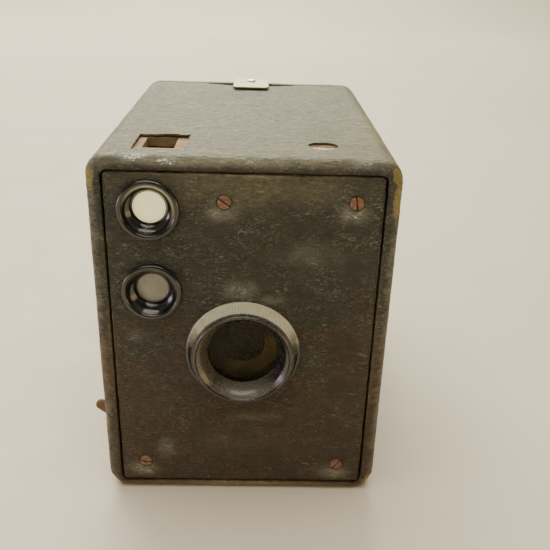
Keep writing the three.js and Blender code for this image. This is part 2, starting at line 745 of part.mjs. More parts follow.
function knuckles(axis, radius, spans) {
  return spans.map((span) => rod(radius, span, 'x', 14).translate(0, axis.y, axis.z));
}

function buildDoor() {
  const through = [0, beyond];
  const hingeNotch = block([-hingeHalf - 0.4, hingeHalf + 0.4], [doorFront - 0.2, beyond],
    [-1, hingeAxis.z + knuckle + slack]);
  const latchNotch = block([-latchHalf - 0.7, latchHalf + 0.7],
    [latchAxis.y - latchKnuckle - slack, beyond], [latchAxis.z - latchKnuckle - slack, beyond]);
  const holeRadius = redWindow.radius + 0.9;
  const hole = rod(holeRadius, through, 'y', 20).translate(0, 0, lensZ);
  const leafRecess = block([-hingeHalf - slack, hingeHalf + slack],
    [caseDepth - skin - glue, beyond], [-1, doorLeafTop + slack]);

  const lightTrap = block([-panelHalf, panelHalf], [doorFront - doorPanelDepth, doorFront + 0.5],
    [panelBottom, panelTop]);
  const board = cut(join(doorBlock(boardInset, doorFront + glue), lightTrap),
    hingeNotch, latchNotch, hole);
  part('back_board', board, blackWood);
  const covering = cut(doorBlock(0, doorFront), doorBlock(skin, doorFront - 1),
    hingeNotch, latchNotch, hole, leafRecess);
  part('back_covering', covering, leathercloth);

  const tube = redWindow.radius + 0.1;
  const face = caseDepth + glue;
  const rolled = face + 0.3;
  const eyelet = [[tube, redWindow.eyeletFront], [tube + 0.5, redWindow.eyeletFront], [tube + 0.5, face],
    [redWindow.eyelet, face], [redWindow.eyelet - 0.4, rolled], [tube, rolled],
    [tube, redWindow.eyeletFront]];
  part('red_window_ring', turned(eyelet, 'y', 20), brass, [0, 0, lensZ]);
  part('red_window', rod(redWindow.radius, redWindow.y, 'y', 16), rubyCelluloid, [0, 0, lensZ]);
}

function buildHinge() {
  const { y, z } = hingeAxis;
  const bore = rod(hingePin + 0.15, [-beyond, beyond], 'x', 12).translate(0, y, z);
  const inner = hingeMiddle + slack;
  const sides = [[-hingeHalf, -inner], [inner, hingeHalf]];
  const low = 0.05;

  const caseLeaf = block([-hingeHalf, hingeHalf], [caseLeafFront, y - knuckle - slack], [low, low + leaf]);
  const feet = sides.map((span) => block(span, [y - knuckle - 1, y], [low, low + leaf + slack]));
  part('hinge_case_leaf',
    cut(join(caseLeaf, ...feet, ...knuckles(hingeAxis, knuckle, sides)), bore), brass);

  const back = [caseDepth - leaf, caseDepth];
  const doorLeaf = block([-hingeHalf, hingeHalf], back, [z + knuckle + slack, doorLeafTop]);
  const foot = block([-hingeMiddle, hingeMiddle], back, [z, z + knuckle + 1]);
  const middle = knuckles(hingeAxis, knuckle, [[-hingeMiddle, hingeMiddle]]);
  part('hinge_door_leaf', cut(join(doorLeaf, foot, ...middle), bore), brass);
  part('hinge_pin', rod(hingePin, [-hingeHalf, hingeHalf], 'x', 12), brass, [0, y, z]);
}

function buildLatch() {
  const { y, z } = latchAxis;
  const top = z + latchKnuckle;
  const bottom = top - latchThickness;
  const tongueOutline = new THREE.Shape();
  const cornerX = latchHalf - latchCorner;
  const cornerY = latchFront + latchCorner;
  const quarter = Math.PI / 2;
  tongueOutline.moveTo(-latchHalf, y - latchKnuckle - slack);
  tongueOutline.lineTo(-latchHalf, cornerY);
  tongueOutline.absarc(-cornerX, cornerY, latchCorner, 2 * quarter, 3 * quarter);
  tongueOutline.absarc(cornerX, cornerY, latchCorner, 3 * quarter, 4 * quarter);
  tongueOutline.lineTo(latchHalf, y - latchKnuckle - slack);
  tongueOutline.closePath();
  const bore = rod(latchPin + 0.15, [-beyond, beyond], 'x', 12).translate(0, y, z);
  const tongue = cut(
    join(prism(tongueOutline, 'z', [bottom, top], 4),
      block([-latchMiddle, latchMiddle], [y - latchKnuckle - 1, y], [bottom, top]),
      ...knuckles(latchAxis, latchKnuckle, [[-latchMiddle, latchMiddle]])),
    bore, rod(1.5, [0, beyond], 'z', 12).translate(0, rivetY, 0));
  part('latch_tongue', tongue, nickel);

  const foot = caseHeight + 0.2;
  const rivet = [[0, foot], [2.1, foot], [2.1, bottom - 0.05], [1.35, bottom - 0.05],
    [1.35, top + 0.05], [1.9, top + 0.05], [1.7, top + 0.5], [1, top + 0.85], [0, top + 0.95]];
  part('latch_rivet', turned(rivet, 'z', 12), nickel, [0, rivetY, 0]);

  const outside = [caseDepth + glue, caseDepth + glue + leaf];
  const inner = latchMiddle + 0.2;
  const sides = [[-latchHalf, -inner], [inner, latchHalf]];
  const plate = block([-latchHalf, latchHalf], outside, [bracketFoot, z - latchKnuckle - slack]);
  const arms = sides.map((span) => block(span, [y, outside[1]], [z - latchKnuckle - slack - 1, z]));
  const notch = block([-beyond, beyond], [0, outside[0]], [0, z - latchKnuckle - slack]);
  const bracket = cut(join(plate, ...arms, ...knuckles(latchAxis, latchKnuckle, sides),
    rod(latchPin, [-latchHalf, latchHalf], 'x', 12).translate(0, y, z)), notch);
  part('latch_bracket', bracket, nickel);
}

// ---------------------------------------------------------------- tripod sockets

function socket(depth, axis) {
  const step = skin + glue / 2;
  return turned([[0, depth], [socketBody, depth], [socketBody, step], [socketFlange, step],
    [socketFlange, glue / 2], [socketThread, glue / 2], [socketThread, depth - 1], [0, depth - 1]], axis, 16);
}

function buildSockets() {
  part('bottom_tripod_socket', socket(bottomSocket.depth, 'z'), brass, [0, bottomSocket.y, 0]);
  part('side_tripod_socket', socket(sideSocket.depth, 'x').rotateZ(Math.PI), brass,
    [half, sideSocket.y, sideSocket.z]);
}

buildCase();
buildFrontPanel();
buildLens();
buildFinders();
buildShutter();
buildCarrier();
buildKey();
buildDoor();
buildHinge();
buildLatch();
buildSockets();

const group = new THREE.Group();
group.add(camera);

export default group;
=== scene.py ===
import json
import math

import bmesh
import bpy
import numpy as np
from mathutils import Matrix, Vector, noise

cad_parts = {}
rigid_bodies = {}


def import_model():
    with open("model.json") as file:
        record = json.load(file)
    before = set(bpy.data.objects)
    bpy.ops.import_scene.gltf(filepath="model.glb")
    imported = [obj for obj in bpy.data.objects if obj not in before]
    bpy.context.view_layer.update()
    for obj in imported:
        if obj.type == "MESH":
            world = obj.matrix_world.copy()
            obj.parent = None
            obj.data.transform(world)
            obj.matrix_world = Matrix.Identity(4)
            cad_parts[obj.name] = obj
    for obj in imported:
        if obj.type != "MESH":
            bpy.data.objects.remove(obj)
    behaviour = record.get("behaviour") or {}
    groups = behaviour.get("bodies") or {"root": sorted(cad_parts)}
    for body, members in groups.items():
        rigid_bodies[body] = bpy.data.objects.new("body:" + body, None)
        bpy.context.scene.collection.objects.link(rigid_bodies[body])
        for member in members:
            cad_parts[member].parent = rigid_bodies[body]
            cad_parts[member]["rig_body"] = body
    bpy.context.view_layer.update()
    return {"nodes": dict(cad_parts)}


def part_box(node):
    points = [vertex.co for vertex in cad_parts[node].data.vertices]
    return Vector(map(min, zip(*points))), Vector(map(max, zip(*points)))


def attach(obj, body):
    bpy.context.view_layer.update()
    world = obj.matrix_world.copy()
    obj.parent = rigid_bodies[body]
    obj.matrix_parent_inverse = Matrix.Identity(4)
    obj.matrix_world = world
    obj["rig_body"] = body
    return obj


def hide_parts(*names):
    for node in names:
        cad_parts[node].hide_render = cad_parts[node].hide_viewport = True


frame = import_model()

# A wooden box camera covered in leathercloth. Metres, in the frame of the CAD model: the lens looks
# towards -Y, +Z is up, and the origin is the middle of the underside.

MM = 0.001

# ---------------------------------------------------------------- places taken from the frame

case_low, case_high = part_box("case_covering")
door_low, door_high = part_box("back_covering")
panel_low, panel_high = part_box("front_panel_covering")
mouth_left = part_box("left_board")[1].x
mouth_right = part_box("right_board")[0].x
mouth_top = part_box("top_board")[0].z
mouth_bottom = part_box("bottom_board")[1].z
front = case_low.y


def middle(node):
    low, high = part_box(node)
    return (low + high) / 2


lens_centre = middle("lens_ring")
key_centre = middle("key_escutcheon")

EDGE_RADIUS = 6.5 * MM     # long edges of the case
RIM_RADIUS = 3.2 * MM      # edges round the front and the back
CLOTH = 0.55 * MM          # thickness of the leathercloth


# ---------------------------------------------------------------- camera, floor and lights

VIEWPOINT = Vector((3.72, -254.53, 169.62)) * MM
VIEW_YAW, VIEW_PITCH, VIEW_ROLL = (math.radians(a) for a in (1.66, 24.67, 1.81))
SENSOR_WIDTH = 36
FOCAL_LENGTH = 46.41


def make_camera():
    """Stands in front of the camera and a little above it, looking down."""
    yaw, pitch, roll = VIEW_YAW, VIEW_PITCH, VIEW_ROLL
    level = Vector((math.cos(yaw), -math.sin(yaw), 0))
    ahead = Vector((math.sin(yaw), math.cos(yaw), 0))
    forward = ahead * math.cos(pitch) - Vector((0, 0, math.sin(pitch)))
    upright = level.cross(forward)
    right = math.cos(roll) * level + math.sin(roll) * upright
    up = math.cos(roll) * upright - math.sin(roll) * level
    data = bpy.data.cameras.new("camera")
    data.sensor_width = SENSOR_WIDTH
    data.lens = FOCAL_LENGTH
    data.clip_start = 0.01
    made = bpy.data.objects.new("camera", data)
    turned = Matrix((right, up, -forward)).transposed().to_4x4()
    made.matrix_world = Matrix.Translation(VIEWPOINT) @ turned
    bpy.context.scene.collection.objects.link(made)
    bpy.context.scene.camera = made


def make_floor():
    """A pale sheet that curves up behind the object."""
    half_width, near, far, bend, height = 3.0, -2.5, 2.2, 0.8, 2.5
    profile = [(near, 0.0)]
    profile += [(far - bend + bend * math.sin(a), bend - bend * math.cos(a))
                for a in np.linspace(0, math.pi / 2, 17)]
    profile.append((far, height))
    verts = [(x, y, z) for y, z in profile for x in (-half_width, half_width)]
    faces = [(2 * i, 2 * i + 1, 2 * i + 3, 2 * i + 2) for i in range(len(profile) - 1)]
    mesh = bpy.data.meshes.new("floor")
    mesh.from_pydata(verts, [], faces)
    mesh.shade_smooth()
    floor = bpy.data.objects.new("floor", mesh)
    bpy.context.scene.collection.objects.link(floor)
    return floor


def make_light(name, place, size, power, color, target=(0, 0, 0.06)):
    data = bpy.data.lights.new(name, "AREA")
    data.shape = "ELLIPSE"
    data.size, data.size_y = size
    data.energy = power
    data.color = color
    made = bpy.data.objects.new(name, data)
    made.location = place
    made.rotation_euler = (Vector(target) - Vector(place)).to_track_quat("-Z", "Y").to_euler()
    made.visible_camera = False
    bpy.context.scene.collection.objects.link(made)


def make_world(dark, bright, strength):
    """Dim light from the front, bright from behind."""
    world = bpy.data.worlds.new("studio")
    world.use_nodes = True
    tree = world.node_tree
    background = tree.nodes["Background"]
    direction = tree.nodes.new("ShaderNodeTexCoord")
    split = tree.nodes.new("ShaderNodeSeparateXYZ")
    shade = tree.nodes.new("ShaderNodeValToRGB")
    reach = tree.nodes.new("ShaderNodeMapRange")
    reach.inputs["From Min"].default_value = -1
    tree.links.new(direction.outputs["Generated"], split.inputs["Vector"])
    tree.links.new(split.outputs["Y"], reach.inputs["Value"])
    tree.links.new(reach.outputs["Result"], shade.inputs["Fac"])
    for stop, (position, color) in zip(shade.color_ramp.elements, (dark, bright)):
        stop.position = position
        stop.color = (*color, 1)
    tree.links.new(shade.outputs["Color"], background.inputs["Color"])
    background.inputs["Strength"].default_value = strength
    bpy.context.scene.world = world


def make_lights():
    """A window behind, a pale ceiling, a patch of sky at the left, and warm light thrown up by a table."""
    make_world((0.15, (0.085, 0.070, 0.046)), (0.7, (1.0, 0.96, 0.80)), 0.75)
    make_light("window", (-0.4, 1.7, 1.25), (2.2, 1.2), 66, (1.0, 0.96, 0.77))
    make_light("ceiling", (-0.1, -0.1, 1.2), (1.5, 1.1), 13, (1.0, 0.95, 0.80))
    make_light("sky", (-0.95, -0.36, 0.075), (0.3, 0.3), 1.7, (0.24, 0.36, 1.0))
    make_light("front", (-0.5, -1.3, 0.8), (0.8, 0.6), 1.2, (1.0, 0.93, 0.8), (0, -0.06, 0.06))
    for name, x in (("left_bounce", -0.5), ("right_bounce", 0.5)):
        make_light(name, (x, -0.30, 0.03), (0.5, 0.3), 1.1, (1.0, 0.58, 0.22), (0, -0.06, 0.03))


# ---------------------------------------------------------------- shader building

class Value:
    """A number, colour or direction on its way through a shader. Numbers can be added and multiplied."""

    def __init__(self, finish, socket):
        self.finish = finish
        self.socket = socket

    def __add__(self, other):
        return self.finish.calculate("ADD", self, other)

    def __sub__(self, number):
        return self + -number

    def __mul__(self, other):
        return self.finish.calculate("MULTIPLY", self, other)


class Finish:
    """One material: a Principled shader, its colour and relief so far, and short calls that add to them."""

    def __init__(self, name, **constants):
        self.material = bpy.data.materials.new(name)
        self.material.use_nodes = True
        self.tree = self.material.node_tree
        self.surface = self.tree.nodes["Principled BSDF"]
        self.place = self.node("TexCoord", "Object")
        self.color = None
        self.normal = None
        for socket, value in constants.items():
            self.surface.inputs[socket.replace("_", " ")].default_value = value

    def feed(self, value, socket):
        """Links a value to a socket, or sets the socket to a constant."""
        if isinstance(value, Value):
            self.tree.links.new(value.socket, socket)
        else:
            socket.default_value = (*value, 1) if socket.type == "RGBA" else value

    def node(self, kind, output, inputs=(), **settings):
        """Adds a node and gives one of its outputs."""
        made = self.tree.nodes.new("ShaderNode" + kind)
        for key, value in settings.items():
            setattr(made, key, value)
        for key, value in dict(inputs).items():
            self.feed(value, made.inputs[key])
        return Value(self, made.outputs[output])

    def stretched(self, stretch):
        """The place, squeezed so that what is drawn with it comes out longer along each axis."""
        if stretch == (1, 1, 1):
            return self.place
        scale = tuple(1 / s for s in stretch)
        return self.node("Mapping", "Vector", {"Vector": self.place, "Scale": scale})

    def noise(self, size, detail=3.0, roughness=0.55, distortion=0.0, stretch=(1, 1, 1)):
        """Cloudy noise with features of about `size` millimetres, from 0 to 1."""
        return self.node("TexNoise", "Fac", {
            "Vector": self.stretched(stretch), "Scale": 1 / (size * MM), "Detail": detail,
            "Roughness": roughness, "Distortion": distortion})

    def cells(self, size, feature="F1", stretch=(1, 1, 1)):
        """The distance from the middle of the nearest of many cells of about `size` millimetres."""
        return self.node("TexVoronoi", "Distance", {
            "Vector": self.stretched(stretch), "Scale": 1 / (size * MM)}, feature=feature)

    def ramp(self, value, low, high, start=0.0, end=1.0):
        """Runs smoothly from start to end as value goes from low to high."""
        return self.node("MapRange", "Result", {
            "Value": value, "From Min": low, "From Max": high, "To Min": start, "To Max": end},
            interpolation_type="SMOOTHSTEP")

    def clouds(self, low, high, size, *shape):
        """Noise that runs smoothly from 0 where it is `low` to 1 where it is `high`."""
        return self.ramp(self.noise(size, *shape), low, high)

    def specks(self, size, width):
        """Round specks, about one to every `size` millimetres, 1 in their middles."""
        return self.ramp(self.cells(size), 0.0, width, 1.0, 0.0)

    def calculate(self, operation, first, second=0.0):
        return self.node("Math", "Value", {0: first, 1: second}, operation=operation)

    def largest(self, first, second):
        return self.calculate("MAXIMUM", first, second)

    def mix(self, share, first, second):
        return self.node("Mix", 2, {0: share, 6: first, 7: second}, data_type="RGBA")

    def attribute(self, name):
        return self.node("Attribute", "Fac", attribute_name=name)

    def axis(self, name):
        return self.node("SeparateXYZ", name, {"Vector": self.place})

    def tint(self, share, color, strength=1.0):
        """Mixes a colour into the material's own, where share says."""
        if strength != 1.0:
            share = share * strength
        self.color = self.mix(share, self.color, color)

    def lift(self, height, depth):
        """Raises the surface by `depth` millimetres where height is 1."""
        inputs = {"Height": height, "Distance": depth * MM, "Strength": 1.0}
        if self.normal:
            inputs["Normal"] = self.normal
        self.normal = self.node("Bump", "Normal", inputs)

    def finish(self, roughness, metallic=None):
        for socket, value in (("Base Color", self.color), ("Roughness", roughness),
                              ("Normal", self.normal), ("Metallic", metallic)):
            if value is not None:
                self.feed(value, self.surface.inputs[socket])
        return self.material


# ---------------------------------------------------------------- materials

def floor_sheet():
    sheet = Finish("floor_sheet")
    sheet.color = sheet.mix(sheet.clouds(0.3, 0.7, 400), (0.72, 0.65, 0.53), (0.77, 0.70, 0.58))
    return sheet.finish(sheet.ramp(sheet.noise(30), 0.3, 0.7, 0.55, 0.7))


def leathercloth():
    """Black-brown pebbled cloth, creased, scuffed and dusty, worn down to the board where `bare` says, with
    painted shade in its creases, painted highlights on its grain, painted sheen streaks and painted glints.
    """
    cloth = Finish("leathercloth", Specular_IOR_Level=0.42)
    wear, dust, bare, scuff_and_glint = (cloth.attribute(name) for name in ("wear", "dust", "bare", "scuff_and_glint"))

    pebbles = cloth.ramp(cloth.cells(0.95, "SMOOTH_F1", (1.7, 1, 1)), 0.1, 0.7, 1.0, 0.0)
    waves = cloth.noise(1.7, 4, 0.6, 0.5, (3.4, 1, 1))
    creases = cloth.ramp(cloth.calculate("ABSOLUTE", waves - 0.5), 0.0, 0.06)
    grain = pebbles * 0.5 + creases * 0.5

    # Greener towards the top, browner towards the bottom.
    rise = cloth.ramp(cloth.axis("Z"), 0.015, 0.10, -0.20, 0.20)
    patches = cloth.ramp(cloth.noise(13, 4, 0.6) + rise, 0.38, 0.62)
    cloth.color = cloth.mix(patches, (0.0290, 0.0140, 0.0045), (0.0120, 0.0165, 0.0120))
    cloth.tint(cloth.clouds(0.42, 0.7, 3.2, 3, 0.6, 0.4), (0.040, 0.032, 0.018), 0.4)
    # Painted shade darkens the creases and the gaps between the pebbles; a painted highlight lightens the
    # pebbles' tops.
    cloth.tint(cloth.ramp(grain, 0.1, 0.5, 0.7, 0.0), (0.005, 0.004, 0.003))
    cloth.tint(cloth.ramp(grain, 0.4, 0.95), (0.055, 0.046, 0.027), 0.3)

    # Short pale streaks in clusters: painted sheen, a painted highlight along the wrinkles, also given a
    # little relief.
    sheen_streak_clusters = cloth.ramp(cloth.noise(9, 3, 0.6), 0.33, 0.62, 0.05, 1.0)
    painted_sheen_streaks = cloth.clouds(0.535, 0.63, 0.62, 3, 0.62, 1.8, (2.7, 1, 1)) * sheen_streak_clusters
    cloth.tint(painted_sheen_streaks, cloth.mix(patches, (0.21, 0.155, 0.085), (0.23, 0.245, 0.185)), 0.8)
    rubbed = cloth.ramp(grain * 0.45 + wear, 0.55, 1.15)
    cloth.tint(rubbed, cloth.mix(patches, (0.150, 0.098, 0.048), (0.165, 0.155, 0.115)), 0.75)

    film = cloth.ramp(cloth.noise(6, 4, 0.65, 0.5), 0.25, 0.75, 0.35, 1.0)
    hollows = cloth.ramp(grain, 0.2, 0.8, 1.0, 0.45)
    veil = dust * film * hollows
    cloth.tint(veil, (0.465, 0.43, 0.235))
    # The scuff mask paints real smears, and a painted sheen along the top front rim.
    haze = cloth.ramp(scuff_and_glint, 0.0, 0.75) * (film * hollows)
    cloth.tint(haze, (0.36, 0.39, 0.335), 0.75)

    flecks = cloth.specks(0.9, 0.075) * cloth.ramp(dust, 0.05, 0.5)
    spots = cloth.largest(cloth.specks(2.3, 0.085) * 0.75, flecks)
    cloth.tint(spots, (0.44, 0.41, 0.35), 0.8)
    # Where the scuff mask is strong, tiny near-white flecks are painted glints.
    glint_breakup = cloth.noise(0.45, 3, 0.7, 0.8, (2.2, 1, 1))
    painted_glints = cloth.ramp(scuff_and_glint + glint_breakup * 1.5, 1.40, 1.51)
    cloth.tint(painted_glints, (0.86, 0.87, 0.80))

    fibres = cloth.noise(0.4, 4, 0.7, 1.5, (1, 3, 1))
    board = cloth.mix(cloth.ramp(fibres, 0.3, 0.7), (0.15, 0.115, 0.035), (0.42, 0.36, 0.13))
    edge = cloth.ramp(bare + cloth.noise(0.9, 3, 0.6) * 0.5, 0.72, 0.86)
    cloth.tint(edge, board)

    folds = cloth.clouds(0.3, 0.7, 1.15, 3, 0.6, 1.2, (3.2, 1, 1))
    cloth.lift(grain + folds * 0.9, 0.34)
    cloth.lift(painted_sheen_streaks, 0.09)
    cloth.lift(cloth.clouds(0.3, 0.7, 0.33, 2, 0.5), 0.04)
    cloth.lift(fibres * edge, 0.18)
    cloth.lift(spots, 0.12)
    shine = cloth.ramp(cloth.noise(2.2, 3, 0.6), 0.3, 0.7, 0.28, 0.46)
    dull = cloth.largest(veil, cloth.largest(edge, painted_glints))
    return cloth.finish(shine + cloth.ramp(dull, 0.0, 0.9, 0.0, 0.38))


def bare_wood(name, light, dark, grime):
    """Sawn softwood whose fibres run along X, darkened by handling and dust."""
    wood = Finish(name, Specular_IOR_Level=0.3)
    fibres = wood.noise(0.35, 4, 0.65, 0.8, (14, 1.6, 1.6))
    wood.color = wood.mix(wood.ramp(fibres, 0.25, 0.75), dark, light)
    wood.tint(wood.clouds(0.35, 0.65, 2.0, 3, 0.5, 1.2, (18, 1, 1)), dark, 0.35)
    wood.tint(wood.clouds(0.45, 0.75, 5, 4, 0.65, 0.5), grime, 0.7)
    wood.tint(wood.specks(1.1, 0.1), (0.5, 0.46, 0.4), 0.5)
    wood.lift(fibres, 0.12)
    return wood.finish(wood.ramp(fibres, 0.2, 0.8, 0.7, 0.9))


def painted_wood():
    """Wood stained matt black, thin enough for the grain to show, rubbed brown here and there."""
    wood = Finish("black_wood", Specular_IOR_Level=0.35)
    fibres = wood.noise(0.4, 4, 0.65, 0.6, (1.6, 1.6, 12))
    wood.color = wood.mix(wood.ramp(fibres, 0.3, 0.7), (0.010, 0.009, 0.008), (0.028, 0.024, 0.020))
    wood.tint(wood.clouds(0.6, 0.75, 3.0, 4, 0.7, 0.4), (0.11, 0.075, 0.045), 0.5)
    wood.lift(fibres, 0.08)
    return wood.finish(wood.ramp(fibres, 0.2, 0.8, 0.6, 0.85))


def black_enamel(name, dusty, sheen_low, sheen_high):
    """Glossy stoved enamel with fine scratches, specks of dust, and a grey film where `dust` says."""
    enamel = Finish(name, Specular_IOR_Level=0.6, Coat_Weight=0.35, Coat_Roughness=0.08)
    haze = enamel.clouds(0.35, 0.75, 2.4, 4, 0.65)
    enamel.color = enamel.mix(haze, (0.0075, 0.0075, 0.008), (0.017, 0.016, 0.015))
    grit = enamel.noise(0.5, 4, 0.75)
    film = enamel.ramp(grit * 0.6 + enamel.attribute("dust"), 0.5 - dusty, 1.3 - dusty)
    enamel.tint(film, (0.60, 0.585, 0.435), 0.9)
    enamel.tint(enamel.specks(1.1, 0.075), (0.50, 0.48, 0.40), 0.8)
    enamel.lift(haze, 0.02)
    enamel.lift(grit * film, 0.05)
    scratches = enamel.clouds(0.62, 0.74, 0.25, 2, 0.5, 0.0, (9, 1, 2))
    return enamel.finish(enamel.ramp(haze, 0.0, 1.0, sheen_low, sheen_high) + film * 0.5 + scratches * 0.12)


def stop_plate_painted_light():
    """The blackened stop plate, olive-brown below and to the right of the lens as painted light, black
    elsewhere as painted shade.
    """
    steel = Finish("stop_plate_painted_light", Specular_IOR_Level=0.3)
    rightward, upward = steel.axis("X") - lens_centre.x, steel.axis("Z") - lens_centre.z
    uneven = steel.noise(2.4, 4, 0.65, 0.6) * (4 * MM)
    # The olive-brown crescent is painted light; the black rest is painted shade.
    lit_crescent = steel.ramp(rightward * 0.75 + upward * -0.85 + uneven, 3.5 * MM, 8.5 * MM)
    speckle = steel.clouds(0.35, 0.7, 0.5, 3, 0.7)
    lit_brown = steel.mix(speckle, (0.12, 0.088, 0.034), (0.20, 0.155, 0.070))
    steel.color = steel.mix(lit_crescent, (0.006, 0.006, 0.005), lit_brown)
    steel.lift(speckle, 0.05)
    return steel.finish(steel.ramp(lit_crescent, 0.0, 1.0, 0.6, 0.75))


def black_card():
    """Matt black card and blackened tin inside the body."""
    card = Finish("black_card", Specular_IOR_Level=0.2)
    fibres = card.noise(0.5, 4, 0.7, 0.4)
    card.color = card.mix(card.ramp(fibres, 0.3, 0.7), (0.006, 0.006, 0.006), (0.016, 0.015, 0.014))
    card.tint(card.specks(1.7, 0.08), (0.2, 0.19, 0.17), 0.4)
    card.lift(fibres, 0.06)
    return card.finish(card.ramp(fibres, 0.2, 0.8, 0.78, 0.92))


def old_glass(name, tint, film_and_glow, clouded, grime, haze, ior=1.52, glow=0.0, blobs=1.6):
    """Old glass, clear or clouded, under an uneven film of dust. Where glow is given, the film's colour also
    glows: painted light.
    """
    glass = Finish(name, IOR=ior, Specular_IOR_Level=0.3, Emission_Color=(*film_and_glow, 1), Emission_Strength=glow)
    film = glass.clouds(0.35, 0.8, blobs, 5, 0.7, 0.3)
    specks = glass.specks(1.8, 0.05)
    clouding = glass.largest(glass.ramp(film, 0.0, 1.0, clouded, clouded + grime), specks)
    glass.color = glass.mix(clouding, tint, film_and_glow)
    glass.feed(glass.ramp(clouding, 0.0, 1.0, 1.0, 0.0), glass.surface.inputs["Transmission Weight"])
    glass.lift(specks, 0.03)
    return glass.finish(glass.ramp(clouding, 0.0, 1.0, haze, haze + 0.35))


def silvering():
    """Old silvered glass, hazed and spotted."""
    mirror = Finish("mirror", Metallic=1.0)
    haze = mirror.clouds(0.35, 0.75, 3.0, 5, 0.7, 0.3)
    mirror.color = mirror.mix(haze, (0.86, 0.86, 0.80), (0.66, 0.65, 0.56))
    mirror.tint(mirror.specks(1.6, 0.16), (0.2, 0.17, 0.12), 0.5)
    mirror.lift(haze, 0.01)
    return mirror.finish(mirror.ramp(haze, 0.0, 1.0, 0.12, 0.3))


def plated(name, bright, dull, tarnish, low, high, spread=0.5):
    """Plated or bare metal with fine wear lines, dull patches and tarnish in the pores."""
    metal = Finish(name, Metallic=1.0)
    patches = metal.clouds(0.38, 0.68, 2.6, 5, 0.65, 0.6)
    pits = metal.ramp(metal.noise(0.7, 4, 0.75, 0.5), spread, spread + 0.16)
    metal.color = metal.mix(patches, bright, dull)
    metal.tint(pits, tarnish)
    metal.lift(metal.noise(0.22, 3, 0.6, 0.2, (6, 2, 1)), 0.012)
    metal.lift(pits, 0.05)
    rough = metal.ramp(patches, 0.0, 1.0, low, high) + pits * 0.3
    return metal.finish(rough, metal.ramp(pits, 0.0, 1.0, 1.0, 0.35))


def rust(name, bright, deep, metal_show):
    """Rusted steel: orange and brown crust with a little metal left on the high places."""
    steel = Finish(name)
    crust = steel.noise(0.45, 5, 0.75, 0.6)
    steel.color = steel.mix(steel.clouds(0.35, 0.68, 1.7, 4, 0.65, 0.5), bright, deep)
    steel.tint(steel.ramp(crust, 0.3, 0.7, 0.0, 0.5), (0.06, 0.032, 0.022))
    left = steel.ramp(steel.noise(1.1, 4, 0.7, 0.2), metal_show, metal_show + 0.1)
    steel.tint(left, (0.34, 0.29, 0.25), 0.8)
    steel.lift(crust, 0.09)
    return steel.finish(steel.ramp(crust, 0.2, 0.8, 0.62, 0.88), left * 0.8)


def ruby_celluloid():
    ruby = Finish("red_celluloid", IOR=1.5, Transmission_Weight=0.6, Specular_IOR_Level=0.5)
    scratches = ruby.clouds(0.6, 0.72, 0.2, 2, 0.5, 0.0, (1, 1, 10))
    ruby.color = ruby.mix(ruby.clouds(0.3, 0.7, 2.0, 4, 0.6, 0.5), (0.42, 0.018, 0.010), (0.22, 0.010, 0.008))
    ruby.lift(scratches, 0.01)
    return ruby.finish(ruby.ramp(scratches, 0.0, 1.0, 0.16, 0.4))


# ---------------------------------------------------------------- mesh building

def ride_on(name, mesh, material, body, slot, *nodes):
    """Puts a mesh in the scene as a piece that moves with a body and stands for CAD nodes."""
    piece = bpy.data.objects.new(name, mesh)
    mesh.materials.clear()
    mesh.materials.append(material)
    bpy.context.scene.collection.objects.link(piece)
    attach(piece, body)
    if nodes:
        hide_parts(*nodes)
    return piece


def body_of(node):
    return frame["nodes"][node]["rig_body"]


def soften(piece, width, segments=2, angle=30):
    """Rounds a piece's sharp edges."""
    bevel = piece.modifiers.new("rounded_edges", "BEVEL")
    bevel.width = width * MM
    bevel.segments = segments
    bevel.limit_method = "ANGLE"
    bevel.angle_limit = math.radians(angle)
    bevel.miter_outer = "MITER_ARC"
    normals = piece.modifiers.new("even_normals", "WEIGHTED_NORMAL")
    normals.keep_sharp = True


def refined(node, material, slot, edge=0.12, angle=30):
    """The CAD node with its flat faces joined up and its edges rounded."""
    mesh = frame["nodes"][node].data.copy()
    shell = bmesh.new()
    shell.from_mesh(mesh)
    bmesh.ops.remove_doubles(shell, verts=shell.verts, dist=1e-6)
    bmesh.ops.dissolve_limit(shell, angle_limit=math.radians(0.5), verts=shell.verts, edges=shell.edges)
    shell.to_mesh(mesh)
    shell.free()
    drop_custom_normals(mesh)
    mesh.shade_smooth()
    mesh.set_sharp_from_angle(angle=math.radians(angle))
    piece = ride_on(node + "_fine", mesh, material, body_of(node), slot, node)
    soften(piece, edge, angle=angle)
    return piece


def drop_custom_normals(mesh):
    if "custom_normal" in mesh.attributes:
        mesh.attributes.remove(mesh.attributes["custom_normal"])


def meridian(node, axis):
    """A round CAD node's outline, [(radius, place along the axis)], and its centre, read off one side."""
    mesh = frame["nodes"][node].data
    along = "xyz".index(axis)
    low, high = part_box(node)
    centre = (low + high) / 2
    across, up = [(1, 2), (0, 2), (0, 1)][along]
    shell = bmesh.new()
    shell.from_mesh(mesh)
    bmesh.ops.remove_doubles(shell, verts=shell.verts, dist=1e-6)
    side = -1 if axis == "z" else 1
    tiny = 2e-6

    def on_side(v):
        return abs(v.co[across] - centre[across]) < tiny and side * (v.co[up] - centre[up]) > -tiny

    kept = [v for v in shell.verts if on_side(v)]
    edges = {v: [e.other_vert(v) for e in v.link_edges if on_side(e.other_vert(v))] for v in kept}
    ends = [v for v in kept if len(edges[v]) == 1]
    start = min(ends or kept, key=lambda v: v.co[along])
    outline, last, here = [], None, start
    while here is not None:
        outline.append((abs(here.co[up] - centre[up]), here.co[along]))
        following = [v for v in edges[here] if v is not last]
        last, here = here, following[0] if following and following[0] is not start else None
    shell.free()
    return outline, centre, not ends


